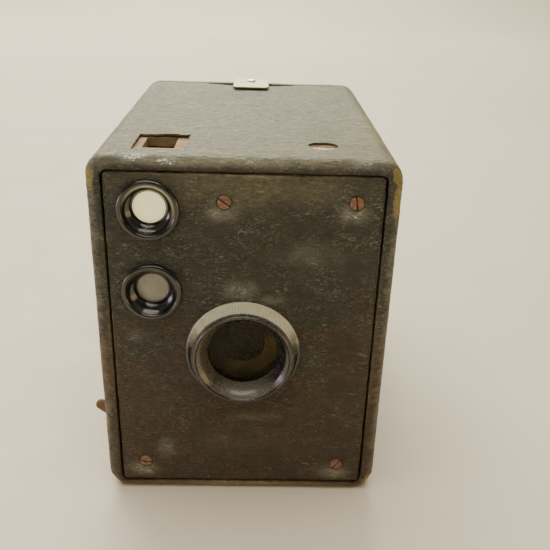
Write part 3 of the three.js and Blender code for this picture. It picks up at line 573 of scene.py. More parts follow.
def turned_mesh(name, outline, centre, axis, segments, closed_outline, wobble=None):
    """Turns an outline of (radius, place) round an axis. wobble(angle, index) may add to a radius."""
    along = "xyz".index(axis)
    first, second = [(1, 2), (2, 0), (0, 1)][along]
    shell = bmesh.new()
    rings = []
    for index, (radius, place) in enumerate(outline):
        ring = []
        steps = segments if radius > 1e-7 else 1
        for step in range(steps):
            angle = 2 * math.pi * step / segments
            reach = radius + (wobble(angle, index) if wobble else 0)
            point = Vector(centre)
            point[along] = place
            point[first] += reach * math.cos(angle)
            point[second] += reach * math.sin(angle)
            ring.append(shell.verts.new(point))
        rings.append(ring)
    pairs = list(zip(rings, rings[1:]))
    if closed_outline:
        pairs.append((rings[-1], rings[0]))
    for a, b in pairs:
        for step in range(segments):
            nxt = (step + 1) % segments
            corners = [a[step % len(a)], a[nxt % len(a)], b[nxt % len(b)], b[step % len(b)]]
            corners = list(dict.fromkeys(corners))
            if len(corners) > 2:
                shell.faces.new(corners)
    bmesh.ops.recalc_face_normals(shell, faces=shell.faces)
    mesh = bpy.data.meshes.new(name)
    shell.to_mesh(mesh)
    shell.free()
    mesh.shade_smooth()
    return mesh


def respun(node, material, slot, axis, segments=72, edge=0.12, angle=30):
    """A round CAD node turned again with many more sides, and its edges rounded."""
    outline, centre, closed_outline = meridian(node, axis)
    mesh = turned_mesh(node + "_fine", outline, centre, axis, segments, closed_outline)
    mesh.set_sharp_from_angle(angle=math.radians(angle))
    piece = ride_on(node + "_fine", mesh, material, body_of(node), slot, node)
    soften(piece, edge, angle=angle)
    return piece


def eased(points, step):
    """A smooth line through (radius, place) points, cut into steps of about `step` millimetres."""
    points = [Vector((*p, 0)) for p in points]
    line = []
    for i in range(len(points) - 1):
        before = points[max(i - 1, 0)]
        a, b = points[i], points[i + 1]
        after = points[min(i + 2, len(points) - 1)]
        count = max(1, round((b - a).length / (step * MM)))
        for k in range(count):
            t = k / count
            line.append(0.5 * (2 * a + (b - before) * t + (2 * before - 5 * a + 4 * b - after) * t * t
                               + (3 * a - before - 3 * b + after) * t ** 3))
    line.append(points[-1])
    return [(p.x, p.y) for p in line]


def apply_modifiers(piece):
    depsgraph = bpy.context.evaluated_depsgraph_get()
    mesh = bpy.data.meshes.new_from_object(piece.evaluated_get(depsgraph))
    piece.modifiers.clear()
    piece.data = mesh


def combine(piece, meshes, operation="DIFFERENCE"):
    """Cuts closed meshes out of a piece, or joins them to it."""
    helper = bpy.data.collections.new("operands")
    for i, mesh in enumerate(meshes):
        helper.objects.link(bpy.data.objects.new(f"operand_{i}", mesh))
    boolean = piece.modifiers.new("boolean", "BOOLEAN")
    boolean.operation = operation
    boolean.operand_type = "COLLECTION"
    boolean.collection = helper
    boolean.solver = "MANIFOLD"
    apply_modifiers(piece)
    for operand in list(helper.objects):
        bpy.data.objects.remove(operand)
    bpy.data.collections.remove(helper)


def prism(outline, axis, low, high):
    """A closed mesh: an outline in the two other axes, in their order, drawn out along an axis."""
    along = "xyz".index(axis)
    first, second = [i for i in range(3) if i != along]
    shell = bmesh.new()
    ends = []
    for place in (low, high):
        ring = []
        for a, b in outline:
            point = [0.0, 0.0, 0.0]
            point[along], point[first], point[second] = place, a, b
            ring.append(shell.verts.new(point))
        ends.append(ring)
    count = len(outline)
    for i in range(count):
        j = (i + 1) % count
        shell.faces.new((ends[0][i], ends[0][j], ends[1][j], ends[1][i]))
    shell.faces.new(ends[0])
    shell.faces.new(ends[1])
    bmesh.ops.recalc_face_normals(shell, faces=shell.faces)
    mesh = bpy.data.meshes.new("cutter")
    shell.to_mesh(mesh)
    shell.free()
    return mesh


def ragged(outline, step, amount, seed):
    """The outline with points every `step` millimetres, moved in and out unevenly like a torn edge."""
    line = []
    for i, a in enumerate(outline):
        b = outline[(i + 1) % len(outline)]
        a, b = Vector((*a, 0)), Vector((*b, 0))
        count = max(1, round((b - a).length / (step * MM)))
        side = Vector((b.y - a.y, a.x - b.x, 0)).normalized()
        for k in range(count):
            p = a.lerp(b, k / count)
            wave = noise.noise(p / (1.6 * MM) + Vector((seed, 0, 0)))
            wave += 0.5 * noise.noise(p / (0.5 * MM) + Vector((0, seed, 0)))
            p += side * wave * amount * MM
            line.append((p.x, p.y))
    return line


def rectangle(low_a, high_a, low_b, high_b):
    return [(low_a, low_b), (high_a, low_b), (high_a, high_b), (low_a, high_b)]


def oval(centre_a, centre_b, half_a, half_b, count=32):
    """An ellipse, or with unequal halves given as a slot, a circle stretched along its longer side."""
    radius = min(half_a, half_b)
    line = []
    for i in range(count):
        angle = 2 * math.pi * (i + 0.5) / count
        a = radius * math.cos(angle) + math.copysign(half_a - radius, math.cos(angle))
        b = radius * math.sin(angle) + math.copysign(half_b - radius, math.sin(angle))
        line.append((centre_a + a, centre_b + b))
    return line


def stations(breaks, step):
    """Places from the first break to the last, about `step` millimetres apart, every break among them."""
    line = []
    for a, b in zip(breaks, breaks[1:]):
        count = max(1, round(abs(b - a) / (step * MM)))
        line += [a + (b - a) * k / count for k in range(count)]
    return line + [breaks[-1]]


def coordinates(mesh):
    co = np.empty(len(mesh.vertices) * 3, np.float32)
    mesh.vertices.foreach_get("co", co)
    return co.reshape(-1, 3).astype(float)


def set_coordinates(mesh, co):
    mesh.vertices.foreach_set("co", co.astype(np.float32).ravel())
    mesh.update()


def set_attribute(mesh, name, values):
    layer = mesh.attributes.get(name) or mesh.attributes.new(name, "FLOAT", "POINT")
    layer.data.foreach_set("value", np.clip(values, 0, 1).astype(np.float32))


def rough_noise(co, size, octaves=3, shift=0.0, stretch=(1, 1, 1)):
    """Noise of about -1 to 1 at each point, with features of about `size` millimetres."""
    scaled = co / (size * MM) / np.array(stretch) + shift
    return np.array([noise.fractal(Vector(p), 0.8, 2.1, octaves) for p in scaled])


def smooth(values, low, high):
    t = np.clip((values - low) / (high - low), 0, 1)
    return t * t * (3 - 2 * t)


def near(co, spots):
    """How near each point is to any of the spots, from 0 to the spot's strength.

    A spot is (x, y, z, reach along each axis) in millimetres, y counting back from the front, and a strength
    if it isn't 1.
    """
    found = np.zeros(len(co))
    for x, y, z, reach, *rest in spots:
        strength = rest[0] if rest else 1.0
        place = np.array((x * MM, back(y), z * MM))
        gap = np.linalg.norm((co - place) / (np.array(reach) * MM), axis=1)
        found = np.maximum(found, strength * (1 - smooth(gap, 0.15, 1.0)))
    return found


# ---------------------------------------------------------------- leathercloth coverings

# Openings through the case covering: spans in millimetres, y counted back from the front.
WINDOW = ((-32.9, -17.4), (7.0, 25.6))
TAB_SLOT = ((18.4, 27.4), (12.5, 19.2))
SIDE_WINDOW = ((8.5, 24.5), (66, 84))
LEVER_SLOT = ((11.2, 13.4), (9.9, 25.7))
SOCKET_HOLE = 7.8
KEY_HOLE = 5.2
LENS_HOLE = 13.5
FINDER_HOLE = 7.7
SCREW_HOLE = 2.35
RED_WINDOW_HOLE = 6.1
SCOOP_DEPTH = 1.5
SCOOP_HALF = 22.7
SCOOP_FLOOR = 5
LATCH_HALF = 8.3


def back(y):
    """A distance in millimetres behind the front, in the frame."""
    return front + y * MM


def section(low_x, high_x, low_z, high_z, corner, step):
    """Points round a rounded rectangle: the core point that each belongs to, and its direction outwards."""
    left, right, bottom, top = low_x + corner, high_x - corner, low_z + corner, high_z - corner
    runs = [((left, bottom), (right, bottom), -90), ((right, bottom), (right, top), 0),
            ((right, top), (left, top), 90), ((left, top), (left, bottom), 180)]
    core, outward = [], []
    arc = max(3, round(corner * math.pi / 2 / (step * MM)))
    for (ax, az), (bx, bz), facing in runs:
        count = round(math.hypot(bx - ax, bz - az) / (step * MM))
        angle = math.radians(facing)
        for k in range(count):
            core.append((ax + (bx - ax) * k / count, az + (bz - az) * k / count))
            outward.append((math.cos(angle), math.sin(angle)))
        for k in range(arc):
            turn = angle + math.pi / 2 * k / arc
            core.append((bx, bz))
            outward.append((math.cos(turn), math.sin(turn)))
    return np.array(core), np.array(outward)


def sleeve_mesh(name, core, outward, rows):
    """A closed skin: each row gives every point's reach along x and z from its core, and its y."""
    points = [np.column_stack((core[:, 0] + outward[:, 0] * rx, y, core[:, 1] + outward[:, 1] * rz))
              for rx, rz, y in rows]
    count = len(core)
    index = np.arange(len(rows) * count).reshape(len(rows), count)
    after = np.roll(index, -1, axis=1)
    below, below_after = np.roll(index, -1, axis=0), np.roll(after, -1, axis=0)
    faces = np.stack((index, after, below_after, below), axis=-1).reshape(-1, 4)
    mesh = bpy.data.meshes.new(name)
    mesh.from_pydata(np.vstack(points).tolist(), [], faces.tolist())
    mesh.update()
    return mesh


def case_covering_mesh():
    """The cloth wrapped round the case, over the rounded front rim and a little way into its mouth."""
    core, outward = section(case_low.x, case_high.x, case_low.z, case_high.z, EDGE_RADIUS, 0.8)
    share_x = outward[:, 0] ** 2
    side = mouth_left - case_low.x
    level = np.where(outward[:, 1] > 0, case_high.z - mouth_top, mouth_bottom - case_low.z)
    mouth = share_x * side + (1 - share_x) * level

    def rim(inset):
        left = np.clip(RIM_RADIUS - inset, 0, None)
        return front + RIM_RADIUS - np.sqrt(RIM_RADIUS ** 2 - left ** 2)

    def row(share, extra, y):
        """A row at a share of the way from the side in to the mouth, plus some millimetres more."""
        inset = share * mouth + extra * MM
        depth = rim(np.clip(inset, 0, None)) if y is None else np.full(len(core), y)
        return (EDGE_RADIUS - share * side - extra * MM, EDGE_RADIUS - share * level - extra * MM, depth)

    flap = 4.5
    rows = [row(1, 0.3, back(flap)), row(1, 0.3, back(2)), row(1, 0.3, back(0.5)), row(1, 0.2, back(0.15)),
            row(1, -0.02, back(0.01))]
    bends = 9
    for k in range(bends - 1, -1, -1):
        share = 1 - math.cos(math.pi / 2 * k / bends)
        rows.append(row(share, 0, None))
    for y in stations([back(4.1), back(62), case_high.y], 0.85):
        rows.append(row(0, 0, y))
    inner = CLOTH / MM
    rows += [row(0, inner, case_high.y), row(0, inner, back(RIM_RADIUS / MM))]
    for share in (0.12, 0.35, 0.7):
        rx, rz, y = row(share, 0, None)
        rows.append((rx - CLOTH * (1 - share), rz - CLOTH * (1 - share), y + CLOTH * share ** 0.5))
    rows += [row(1, 0.02, back(inner + 0.05)), row(1, 0.02, back(flap))]
    return sleeve_mesh("case_covering_fine", core, outward, rows)


def pan_mesh(name, low, high, face_y, depth, corner, edge, step):
    """A skin over a flat face with rounded edges, and over the sides behind it, `depth` away along y."""
    reach = corner
    arc = edge * math.pi / 2
    wall = abs(depth) - edge
    bend = reach - edge + arc + wall
    sign = math.copysign(1, depth)

    def profile(distance):
        """How far out and how far back a point lies, a distance along the skin from the corner's centre."""
        flat = reach - edge
        if distance <= flat:
            return distance, 0.0
        if distance <= flat + arc:
            angle = (distance - flat) / edge
            return flat + edge * math.sin(angle), edge * (1 - math.cos(angle))
        return reach, edge + distance - flat - arc

    def spread(low_place, high_place):
        inner = stations([low_place + reach, high_place - reach], step)
        rim = stations([0.0, reach - edge, reach - edge + arc, bend], min(step, 0.45))[1:]
        line = [(inner[0], -d) for d in reversed(rim)] + [(p, 0.0) for p in inner]
        return line + [(inner[-1], d) for d in rim]

    columns, lines = spread(low.x, high.x), spread(low.z, high.z)
    verts = []
    for z, t in lines:
        for x, s in columns:
            distance = max(abs(s), abs(t))
            out, behind = profile(distance)
            if s and t:
                angle = math.pi / 4 * min(abs(s), abs(t)) / distance
                angle = angle if abs(s) >= abs(t) else math.pi / 2 - angle
                dx, dz = math.copysign(out * math.cos(angle), s), math.copysign(out * math.sin(angle), t)
            else:
                dx, dz = math.copysign(out, s) if s else 0.0, math.copysign(out, t) if t else 0.0
            verts.append((x + dx, face_y + sign * behind, z + dz))
    width = len(columns)
    faces = []
    for j in range(len(lines) - 1):
        for i in range(width - 1):
            a = j * width + i
            quad = (a, a + 1, a + width + 1, a + width)
            faces.append(quad if sign > 0 else quad[::-1])
    mesh = bpy.data.meshes.new(name)
    mesh.from_pydata(verts, [], faces)
    mesh.update()
    return mesh


def thicken(piece, thickness):
    solid = piece.modifiers.new("thickness", "SOLIDIFY")
    solid.thickness = thickness
    solid.offset = -1
    solid.use_even_offset = True
    apply_modifiers(piece)


def age_cloth(piece, low, high, radius, openings=(), scuffs_and_glints=(), bare=(), dusty=()):
    """Gives a covering its creases and dents, and says where it is worn, scuffed, dusty or worn through, and
    where painted highlights, glints and painted light go.
    """
    mesh = piece.data
    co = coordinates(mesh)
    core = np.clip(co, np.array(low) + radius, np.array(high) - radius)
    outward = co - core
    outward /= np.maximum(np.linalg.norm(outward, axis=1), 1e-9)[:, None]
    broad = rough_noise(co, 17, 2)
    ripples = rough_noise(co, 3.4, 3, 7.0, (2.2, 1, 1))
    fine = rough_noise(co, 1.3, 2, 3.0, (2.6, 1, 1))
    bareness = near(co, bare) + 0.35 * rough_noise(co, 1.1, 3, 11.0) * (near(co, bare) > 0.02)
    torn = smooth(bareness, 0.5, 0.62)
    lips = near(co, openings)
    lift = 0.10 * broad + 0.075 * ripples + 0.04 * fine - 0.34 * torn + 0.22 * lips * (0.5 + ripples)
    moved = co + outward * (lift * MM)[:, None]
    moved[:, 2] = np.maximum(moved[:, 2], low[2] + 0.02 * MM)
    set_coordinates(mesh, moved)

    roundness = 1 - np.abs(outward).max(axis=1)
    wear = smooth(roundness, 0.015, 0.2) * (0.55 + 0.5 * ripples) + 0.12 * (broad + 0.4)
    upward = smooth(outward[:, 2], 0.45, 0.98)
    dust = 0.05 + upward * (0.50 + 0.16 * broad + 0.12 * ripples) + near(co, dusty)
    # The lips of openings take the wear colour too: partly fraying, partly painted light on cut walls that
    # lie in shade.
    set_attribute(mesh, "wear", wear + 0.5 * lips)
    set_attribute(mesh, "dust", dust)
    set_attribute(mesh, "bare", bareness)
    set_attribute(mesh, "scuff_and_glint", near(co, scuffs_and_glints))
    mesh.shade_smooth()
    mesh.set_sharp_from_angle(angle=math.radians(40))


def between(spans, axis):
    """A rectangle across an axis, x or z, from spans whose part along y counts back from the front."""
    (low, high), (y_low, y_high) = spans
    if axis == "x":
        return rectangle(back(low), back(high), y_low * MM, y_high * MM)
    return rectangle(low * MM, high * MM, back(y_low), back(y_high))


def hole(centre, radius, axis, low, high):
    """A round cutter."""
    a, b = [centre[i] for i in range(3) if i != "xyz".index(axis)]
    return prism(oval(a, b, radius * MM, radius * MM), axis, low, high)


def scoop_outline():
    """The thumb scoop in the top, round the latch, seen from above."""
    line = []
    for side in (-1, 1):
        a, b, c = ((-SCOOP_HALF, 1), (-0.62 * SCOOP_HALF, -3.4), (-LATCH_HALF, -SCOOP_FLOOR))
        half = []
        for t in np.linspace(0, 1, 12):
            x, y = [(1 - t) ** 2 * a[i] + 2 * t * (1 - t) * b[i] + t * t * c[i] for i in (0, 1)]
            half.append((side * -x * MM, case_high.y + y * MM))
        line += half if side == 1 else half[::-1]
    return line[::-1]


def dress_case(cloth):
    piece = ride_on("case_covering_fine", case_covering_mesh(), cloth,
                    "case", "leathercloth", "case_covering")
    through = 2 * MM
    at_left, at_right, at_bottom, at_top = (
        (side - through, side + through) for side in (case_low.x, case_high.x, case_low.z, case_high.z))
    (slot_left, slot_right), (slot_front, slot_back) = TAB_SLOT
    slot = oval((slot_left + slot_right) / 2 * MM, back((slot_front + slot_back) / 2),
                (slot_right - slot_left) / 2 * MM, (slot_back - slot_front) / 2 * MM)
    leaf_low, leaf_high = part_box("hinge_case_leaf")
    margin = 0.3 * MM
    leaf = rectangle(leaf_low.x - margin, leaf_high.x + margin, leaf_low.y - margin, case_high.y + through)
    combine(piece, [
        prism(ragged(between(WINDOW, "z"), 0.5, 0.45, 3.0), "z", *at_top),
        prism(ragged(slot, 0.5, 0.2, 9.0), "z", *at_top),
        prism(ragged(scoop_outline(), 0.6, 0.2, 5.0), "z", case_high.z - SCOOP_DEPTH * MM, at_top[1]),
        prism(ragged(between(SIDE_WINDOW, "x"), 0.8, 0.1, 2.0), "x", *at_left),
        prism(ragged(between(LEVER_SLOT, "x"), 0.5, 0.15, 4.0), "x", *at_left),
        hole(key_centre, KEY_HOLE, "x", *at_left),
        hole(middle("side_tripod_socket"), SOCKET_HOLE, "x", *at_right),
        hole(middle("bottom_tripod_socket"), SOCKET_HOLE, "z", *at_bottom),
        prism(leaf, "z", *at_bottom),
    ])
    (window_left, window_right), (window_front, window_back) = WINDOW
    half_mouth = mouth_right / MM
    age_cloth(
        piece, case_low, Vector((case_high.x, door_high.y, case_high.z)), EDGE_RADIUS,
        openings=[
            (window_left, 16, 116.8, (1.2, 11, 2)), (window_right, 16, 116.8, (1.2, 11, 2)),
            (-26, window_front, 116.8, (10, 1.3, 2)), (-26, window_back, 116.8, (10, 1.3, 2)),
            (22.9, slot_front, 116.8, (5, 1.2, 2), 0.7), (22.9, slot_back, 116.8, (5, 1.2, 2), 0.7),
        ],
        # The spots along the top front rim and at the slot's front lip paint highlights and glints; the last
        # two are scuffs.
        scuffs_and_glints=[
            (-31, 1.8, 115.8, (9, 3.4, 3.4), 0.76), (-22, 1.1, 115, (9, 2.6, 2.8), 0.70),
            (22.8, 11.6, 116.8, (6, 2.0, 2), 0.74), (34, 1.5, 115.5, (9, 3, 3), 0.62),
            (0, 1.2, 115.2, (44, 2.2, 2.2), 0.55),
            (44, 1.5, 30, (2, 2.5, 14), 0.45), (-44, 1, 112, (4, 4, 5), 0.5),
        ],
        bare=[
            (44.4, 1.0, 105, (3.2, 3.6, 10.5)), (43.2, 1.6, 112, (4.2, 3.6, 5)),
            (-44.9, 0.8, 110, (4.2, 3.8, 6.4)), (43.2, 1.6, 4.2, (4, 3.6, 5)),
            (-44.8, 1.2, 27, (1.6, 2.6, 4.5), 0.85), (-43.4, 1.5, 3.4, (3, 2.6, 3), 0.7),
            (43.8, 117, 112.5, (2.8, 4, 4.4), 0.9), (-43.8, 117.5, 112.8, (2.8, 4, 4), 0.9),
        ],
        # Several dusty spots are painted light: a painted highlight along the top front rim, dust and painted
        # sheen at the right of the top, painted light on the window's back and left walls where they lie in
        # shade, and warm painted light along the bottom front rim.
        dusty=[
            (0, 112, 116.8, (30, 9, 4), 0.35), (-34, 16, 116.8, (6, 13, 4), 0.3),
            (42, 40, 116, (9, 60, 5), 0.3), (0, 0.6, 116, (48, 2.4, 3.2), 0.5),
            (-26, window_back, 116.4, (10, 1.6, 1.6), 0.9), (window_left, 16, 116.4, (1.8, 11, 2), 0.9),
            (half_mouth, 3, 60, (1.4, 5, 62), 0.5), (-half_mouth, 3, 60, (1.4, 5, 62), 0.5),
            (0, 0.6, 1.6, (48, 3.4, 3.4), 0.9),
        ])
    return piece


def dress_panel(cloth):
    edge, corner = 1.2 * MM, 1.6 * MM
    mesh = pan_mesh("front_panel_covering_fine", panel_low, panel_high, panel_low.y,
                    panel_high.y - panel_low.y, corner, edge, 0.6)
    piece = ride_on(mesh.name, mesh, cloth, "case", "leathercloth", "front_panel_covering")
    thicken(piece, CLOTH)
    face = panel_low.y
    near_y, far_y = face - 2 * MM, face + 3 * MM
    screws = [middle(f"panel_screw_{number}") for number, _ in enumerate(SCREW_TURNS, 1)]
    holes = [(lens_centre, LENS_HOLE), (middle("upper_finder_bezel"), FINDER_HOLE),
             (middle("lower_finder_bezel"), FINDER_HOLE)]
    holes += [(screw, SCREW_HOLE) for screw in screws]
    combine(piece, [hole(centre, radius, "y", near_y, far_y) for centre, radius in holes])
    half, top = panel_high.x / MM, panel_high.z / MM
    heads = [screw / MM for screw in screws]
    age_cloth(
        piece, panel_low, Vector((panel_high.x, panel_high.y + 1, panel_high.z)), edge,
        scuffs_and_glints=[(-25, 0, 17, (5, 2, 7), 0.5), (4, 0, 30, (14, 2, 3), 0.35),
                (20, 0, 88, (16, 2, 7), 0.3), (-33, 0, 60, (5, 2, 4), 0.3)]
        + [(head.x - 0.5, 0, head.z - 3.2, (8, 2, 4.6), 0.52) for head in heads]
        + [(-1, 0, 76, (9, 2, 6), 0.5), (8, 0, 73, (8, 2, 3), 0.42), (0, 0, 20, (30, 2, 14), 0.16)],
        bare=[(half, 0.6, 110, (1.4, 1.6, 3), 0.65), (-half, 0.6, top - 1, (1.4, 1.6, 2.5), 0.6)],
        # The two spots along the panel's top paint a highlight on its rounded edge and a strip of light below
        # it.
        dusty=[(0, 0.8, top, (46, 2, 2.2), 0.8), (0, 0, top - 4, (50, 3, 9), 0.28),
               (half, 0.6, 60, (0.9, 1.6, 60), 0.4), (-half, 0.6, 60, (0.9, 1.6, 60), 0.4)]
        + [(head.x - 1.2, 0, head.z - 3.0, (8.5, 2, 4.6), 0.22) for head in heads])
    return piece


def dress_door(cloth):
    mesh = pan_mesh("back_covering_fine", door_low, door_high, door_high.y, door_low.y - door_high.y,
                    EDGE_RADIUS, RIM_RADIUS, 0.9)
    piece = ride_on(mesh.name, mesh, cloth, "back_door", "leathercloth", "back_covering")
    thicken(piece, CLOTH)
    hinge_low, hinge_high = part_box("hinge_pin")
    leaf_low, leaf_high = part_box("hinge_door_leaf")
    latch_low, latch_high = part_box("latch_tongue")
    margin, knuckle = 0.4 * MM, 1.8 * MM
    inner_y, outer_y = door_high.y - 1 * MM, door_high.y + 2 * MM
    hinge_middle = (hinge_low + hinge_high) / 2
    combine(piece, [
        hole(middle("red_window"), RED_WINDOW_HOLE, "y", inner_y, outer_y),
        prism(rectangle(hinge_low.x - margin, hinge_high.x + margin, -1 * MM, hinge_middle.z + knuckle),
              "y", door_low.y - 1 * MM, outer_y),
        prism(rectangle(leaf_low.x - margin, leaf_high.x + margin, -1 * MM, leaf_high.z + margin),
              "y", inner_y, outer_y),
        prism(rectangle(latch_low.x - 0.7 * MM, latch_high.x + 0.7 * MM, latch_high.z - 3.1 * MM, 0.12),
              "y", door_low.y + 2.3 * MM, outer_y),
    ])
    age_cloth(
        piece, Vector((door_low.x, case_low.y, door_low.z)), door_high, RIM_RADIUS,
        scuffs_and_glints=[(0, 125, 40, (22, 3, 8), 0.35), (-30, 125, 90, (8, 3, 14), 0.35)],
        bare=[(43.6, 123.5, 113.6, (3, 3, 4)), (-43.6, 123.5, 114, (3, 3, 3)),
              (43.2, 123.6, 3, (3.4, 3, 3.4), 0.9), (-43.6, 123.6, 4, (3, 3, 4), 0.9)],
        dusty=[(0, 122, 116.8, (40, 4, 3), 0.2)])
    return piece


# ---------------------------------------------------------------- lens and finders

KNURLS = 117
KNURL_STEPS = 6         # points to a tooth
KNURL_DEPTH = 0.34
BAND_FRONT = 1.15       # from the ring's tip back to the band of teeth
BAND_REAR = 0.95        # from the panel's face forward to it
BAND_RADIUS = 15.95     # the band's, at its front
LIP_RADIUS = 14.3       # where the rolled lip gives way to the funnel
FUNNEL_RADIUS = 11.1    # the funnel's, at its foot
SEAT_RADIUS = 12.5
SEAT_DEPTH = 1.1
BEZEL_NECK = 7.4
BEZEL_BORE = 5.7


def extent(outline):
    """The least and greatest radius of an outline, and its two ends along the axis."""
    radii, places = zip(*outline)
    return min(radii), max(radii), min(places), max(places)


def placed(points, place):
    """Points of (radius, distance behind a place) in millimetres, moved into the frame."""
    return [(radius * MM, place + distance * MM) for radius, distance in points]


def around(mesh, centre):
    """For each point: where it is, how far from the fore-and-aft axis, and its direction from there."""
    co = coordinates(mesh)
    away = co[:, [0, 2]] - np.array([centre.x, centre.z])
    radius = np.maximum(np.linalg.norm(away, axis=1), 1e-9)
    return co, radius, away / radius[:, None]


def make_lens_ring(enamel):
    """The knurled ring: flange, tapering band of fine teeth, rolled lip and dished funnel."""
    outline, centre, _ = meridian("lens_ring", "y")
    _, base, tip, rear = extent(outline)
    base /= MM
    neck = min(r for r, y in outline if r > SEAT_RADIUS * MM + 0.3 * MM and y > rear - 0.1 * MM)
    band_front, band_rear = tip + BAND_FRONT * MM, front - BAND_REAR * MM
    flange = placed([(base, 0), (base, -0.55), (base - 0.15, -0.7), (base - 0.65, -0.8)], front)
    widest, narrowest = (base - 0.5) * MM, BAND_RADIUS * MM
    rows = [(widest + (narrowest - widest) * t, band_rear + (band_front - band_rear) * t)
            for t in np.linspace(0, 1, 12)]
    lip = placed([(15.35, -0.08)], band_front)
    lip += placed([(15.3, 0.75), (15.32, 0.4), (15.05, 0.1), (14.75, 0), (14.5, 0.12), (14.35, 0.45)], tip)
    funnel = placed([(14.2, 0.6), (13.2, 1.5), (12.3, 2.9), (11.6, 4.4)], tip)
    funnel += placed([(FUNNEL_RADIUS, 0.3)], front)
    seat = placed([(FUNNEL_RADIUS, SEAT_DEPTH), (SEAT_RADIUS, SEAT_DEPTH)], front)
    seat += [(SEAT_RADIUS * MM, rear), (neck, rear), (neck, front)]
    points = flange + rows + eased(lip, 0.12) + eased(funnel, 0.3) + seat
    first, last = len(flange), len(flange) + len(rows) - 1

    def teeth_in(angle, index):
        if not first <= index <= last:
            return 0.0
        end = min(index - first, last - index)
        depth = KNURL_DEPTH * (1 if end > 1 else 0.55 + 0.35 * end)
        wave = 0.5 - 0.5 * math.cos(KNURLS * angle)
        return -depth * MM * wave ** 0.8

    mesh = turned_mesh("lens_ring_fine", points, centre, "y", KNURLS * KNURL_STEPS, True, teeth_in)
    piece = ride_on("lens_ring_fine", mesh, enamel, "case", "black_enamel", "lens_ring")
    co, radius, direction = around(mesh, centre)
    rightward, height = direction.T
    clumps = rough_noise(co, 2.6, 3, 5.0)
    grooves = 0.5 - 0.5 * np.cos(KNURLS * np.arctan2(height, rightward))
    on_band = (co[:, 1] > band_front - 0.5 * MM) & (radius > 15.2 * MM)
    on_lip = (co[:, 1] <= band_front) & (radius > LIP_RADIUS * MM)
    inside = (radius < LIP_RADIUS * MM) & (co[:, 1] < front + 0.5 * MM)
    band_dust = 0.14 + 0.74 * smooth(height, -0.1, 0.8) + 0.12 * grooves + 0.16 * clumps
    lip_dust = 0.20 + 0.12 * smooth(height, 0.0, 0.9) + 0.06 * clumps
    # Inside the funnel the film is heavier low down and to the left: dust, and at the bottom a painted
    # reflection of the light from above.
    funnel_dust_and_reflection = 0.13 + 0.24 * np.maximum(smooth(-rightward, -0.1, 0.9), 1.2 * smooth(-height, 0.2, 1.0))
    dust = np.where(on_band, band_dust, 0.0)
    dust = np.where(on_lip, lip_dust, dust)
    set_attribute(mesh, "dust", np.where(inside, funnel_dust_and_reflection, dust))
    mesh.set_sharp_from_angle(angle=math.radians(38))
    return piece


def make_bezel(name, enamel):
    """A dished finder bezel with a rolled outer edge."""
    outline, centre, _ = meridian(name, "y")
    opening, outer, tip, rear = extent(outline)
    edge = outer / MM
    dish = placed([(edge, -0.1)], front)
    dish += placed([(edge, 0.75), (edge - 0.22, 0.25), (edge - 0.75, 0), (edge - 1.35, 0.12),
                    (edge - 1.8, 0.8), (edge - 2.5, 1.75), (edge - 3.5, 2.6), (edge - 4.05, 3.25),
                    (opening / MM, 3.6)], tip)
    behind = placed([(opening / MM, 2.6), (BEZEL_BORE, 2.6)], front)
    behind += [(BEZEL_BORE * MM, rear), (BEZEL_NECK * MM, rear), (BEZEL_NECK * MM, front)]
    mesh = turned_mesh(name + "_fine", [(outer, front)] + eased(dish, 0.22) + behind, centre, "y", 128, True)
    piece = ride_on(name + "_fine", mesh, enamel, "case", "black_enamel", name)
    co, radius, direction = around(mesh, centre)
    rim = smooth(radius, outer - 0.5 * MM, outer)
    clumps = rough_noise(co, 2.0, 3, 2.0)
    set_attribute(mesh, "dust", 0.10 * clumps + rim * 0.2 * smooth(direction[:, 1], 0.2, 0.9))
    mesh.set_sharp_from_angle(angle=math.radians(38))
    return piece


# ---------------------------------------------------------------- small fittings

SCREW_TURNS = (0.6, 1.42, 0.2, 2.3)
SLOT_HALF_WIDTH = 0.24
SLOT_DEPTH = 0.62
SHANK_RADIUS = 1.1
SHANK_START = 1.9
THREAD_ROOT = 0.82
THREAD_START = 2.6
THREAD_PITCH = 0.5
THREAD_TURNS = 14


def make_screw(number, turn, metal):
    """A countersunk wood screw with a slightly domed, slotted head."""
    name = f"panel_screw_{number}"
    low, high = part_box(name)
    centre, face = (low + high) / 2, low.y
    head = (high.x - low.x) / 2 / MM
    dome = placed([(0, -0.22), (head * 0.5, -0.17), (head * 0.85, -0.04), (head, 0.14), (head, 0.3)], face)
    shank = [(SHANK_RADIUS, SHANK_START)]
    for k in range(THREAD_TURNS):
        start = THREAD_START + THREAD_PITCH * k
        shank += [(SHANK_RADIUS, start), (THREAD_ROOT, start + THREAD_PITCH / 2)]
    points = eased(dome, 0.2) + placed(shank, face) + [(0.0, high.y)]
    mesh = turned_mesh(name + "_fine", points, centre, "y", 48, False)
    piece = ride_on(name + "_fine", mesh, metal, "case", "rusty_steel", name)
    half_length, half_width = 3 * MM, SLOT_HALF_WIDTH * MM
    along = Vector((math.cos(turn), -math.sin(turn))) * half_length
    across = Vector((-math.sin(turn), -math.cos(turn))) * half_width
    middle_point = Vector((centre.x, centre.z))
    slot = [middle_point + a * along + b * across for a, b in ((-1, -1), (1, -1), (1, 1), (-1, 1))]
    combine(piece, [prism(slot, "y", face - 1 * MM, face + SLOT_DEPTH * MM)])
    piece.data.shade_smooth()
    piece.data.set_sharp_from_angle(angle=math.radians(35))
    soften(piece, 0.05)
    return piece


def rounded(low_a, high_a, low_b, high_b, radius, count=10):
    line = []
    corners = [(high_a - radius, low_b + radius, -90), (high_a - radius, high_b - radius, 0),
               (low_a + radius, high_b - radius, 90), (low_a + radius, low_b + radius, 180)]
    for a, b, start in corners:
        for k in range(count + 1):
            angle = math.radians(start + 90 * k / count)
            line.append((a + radius * math.cos(angle), b + radius * math.sin(angle)))
    return line


WING_LENGTH = 7.1
WING_CORNER = 3.3
WING_THICKNESS = 1.5
KEY_SHAFT = 1.9
BLADE_WIDTH = 3.4


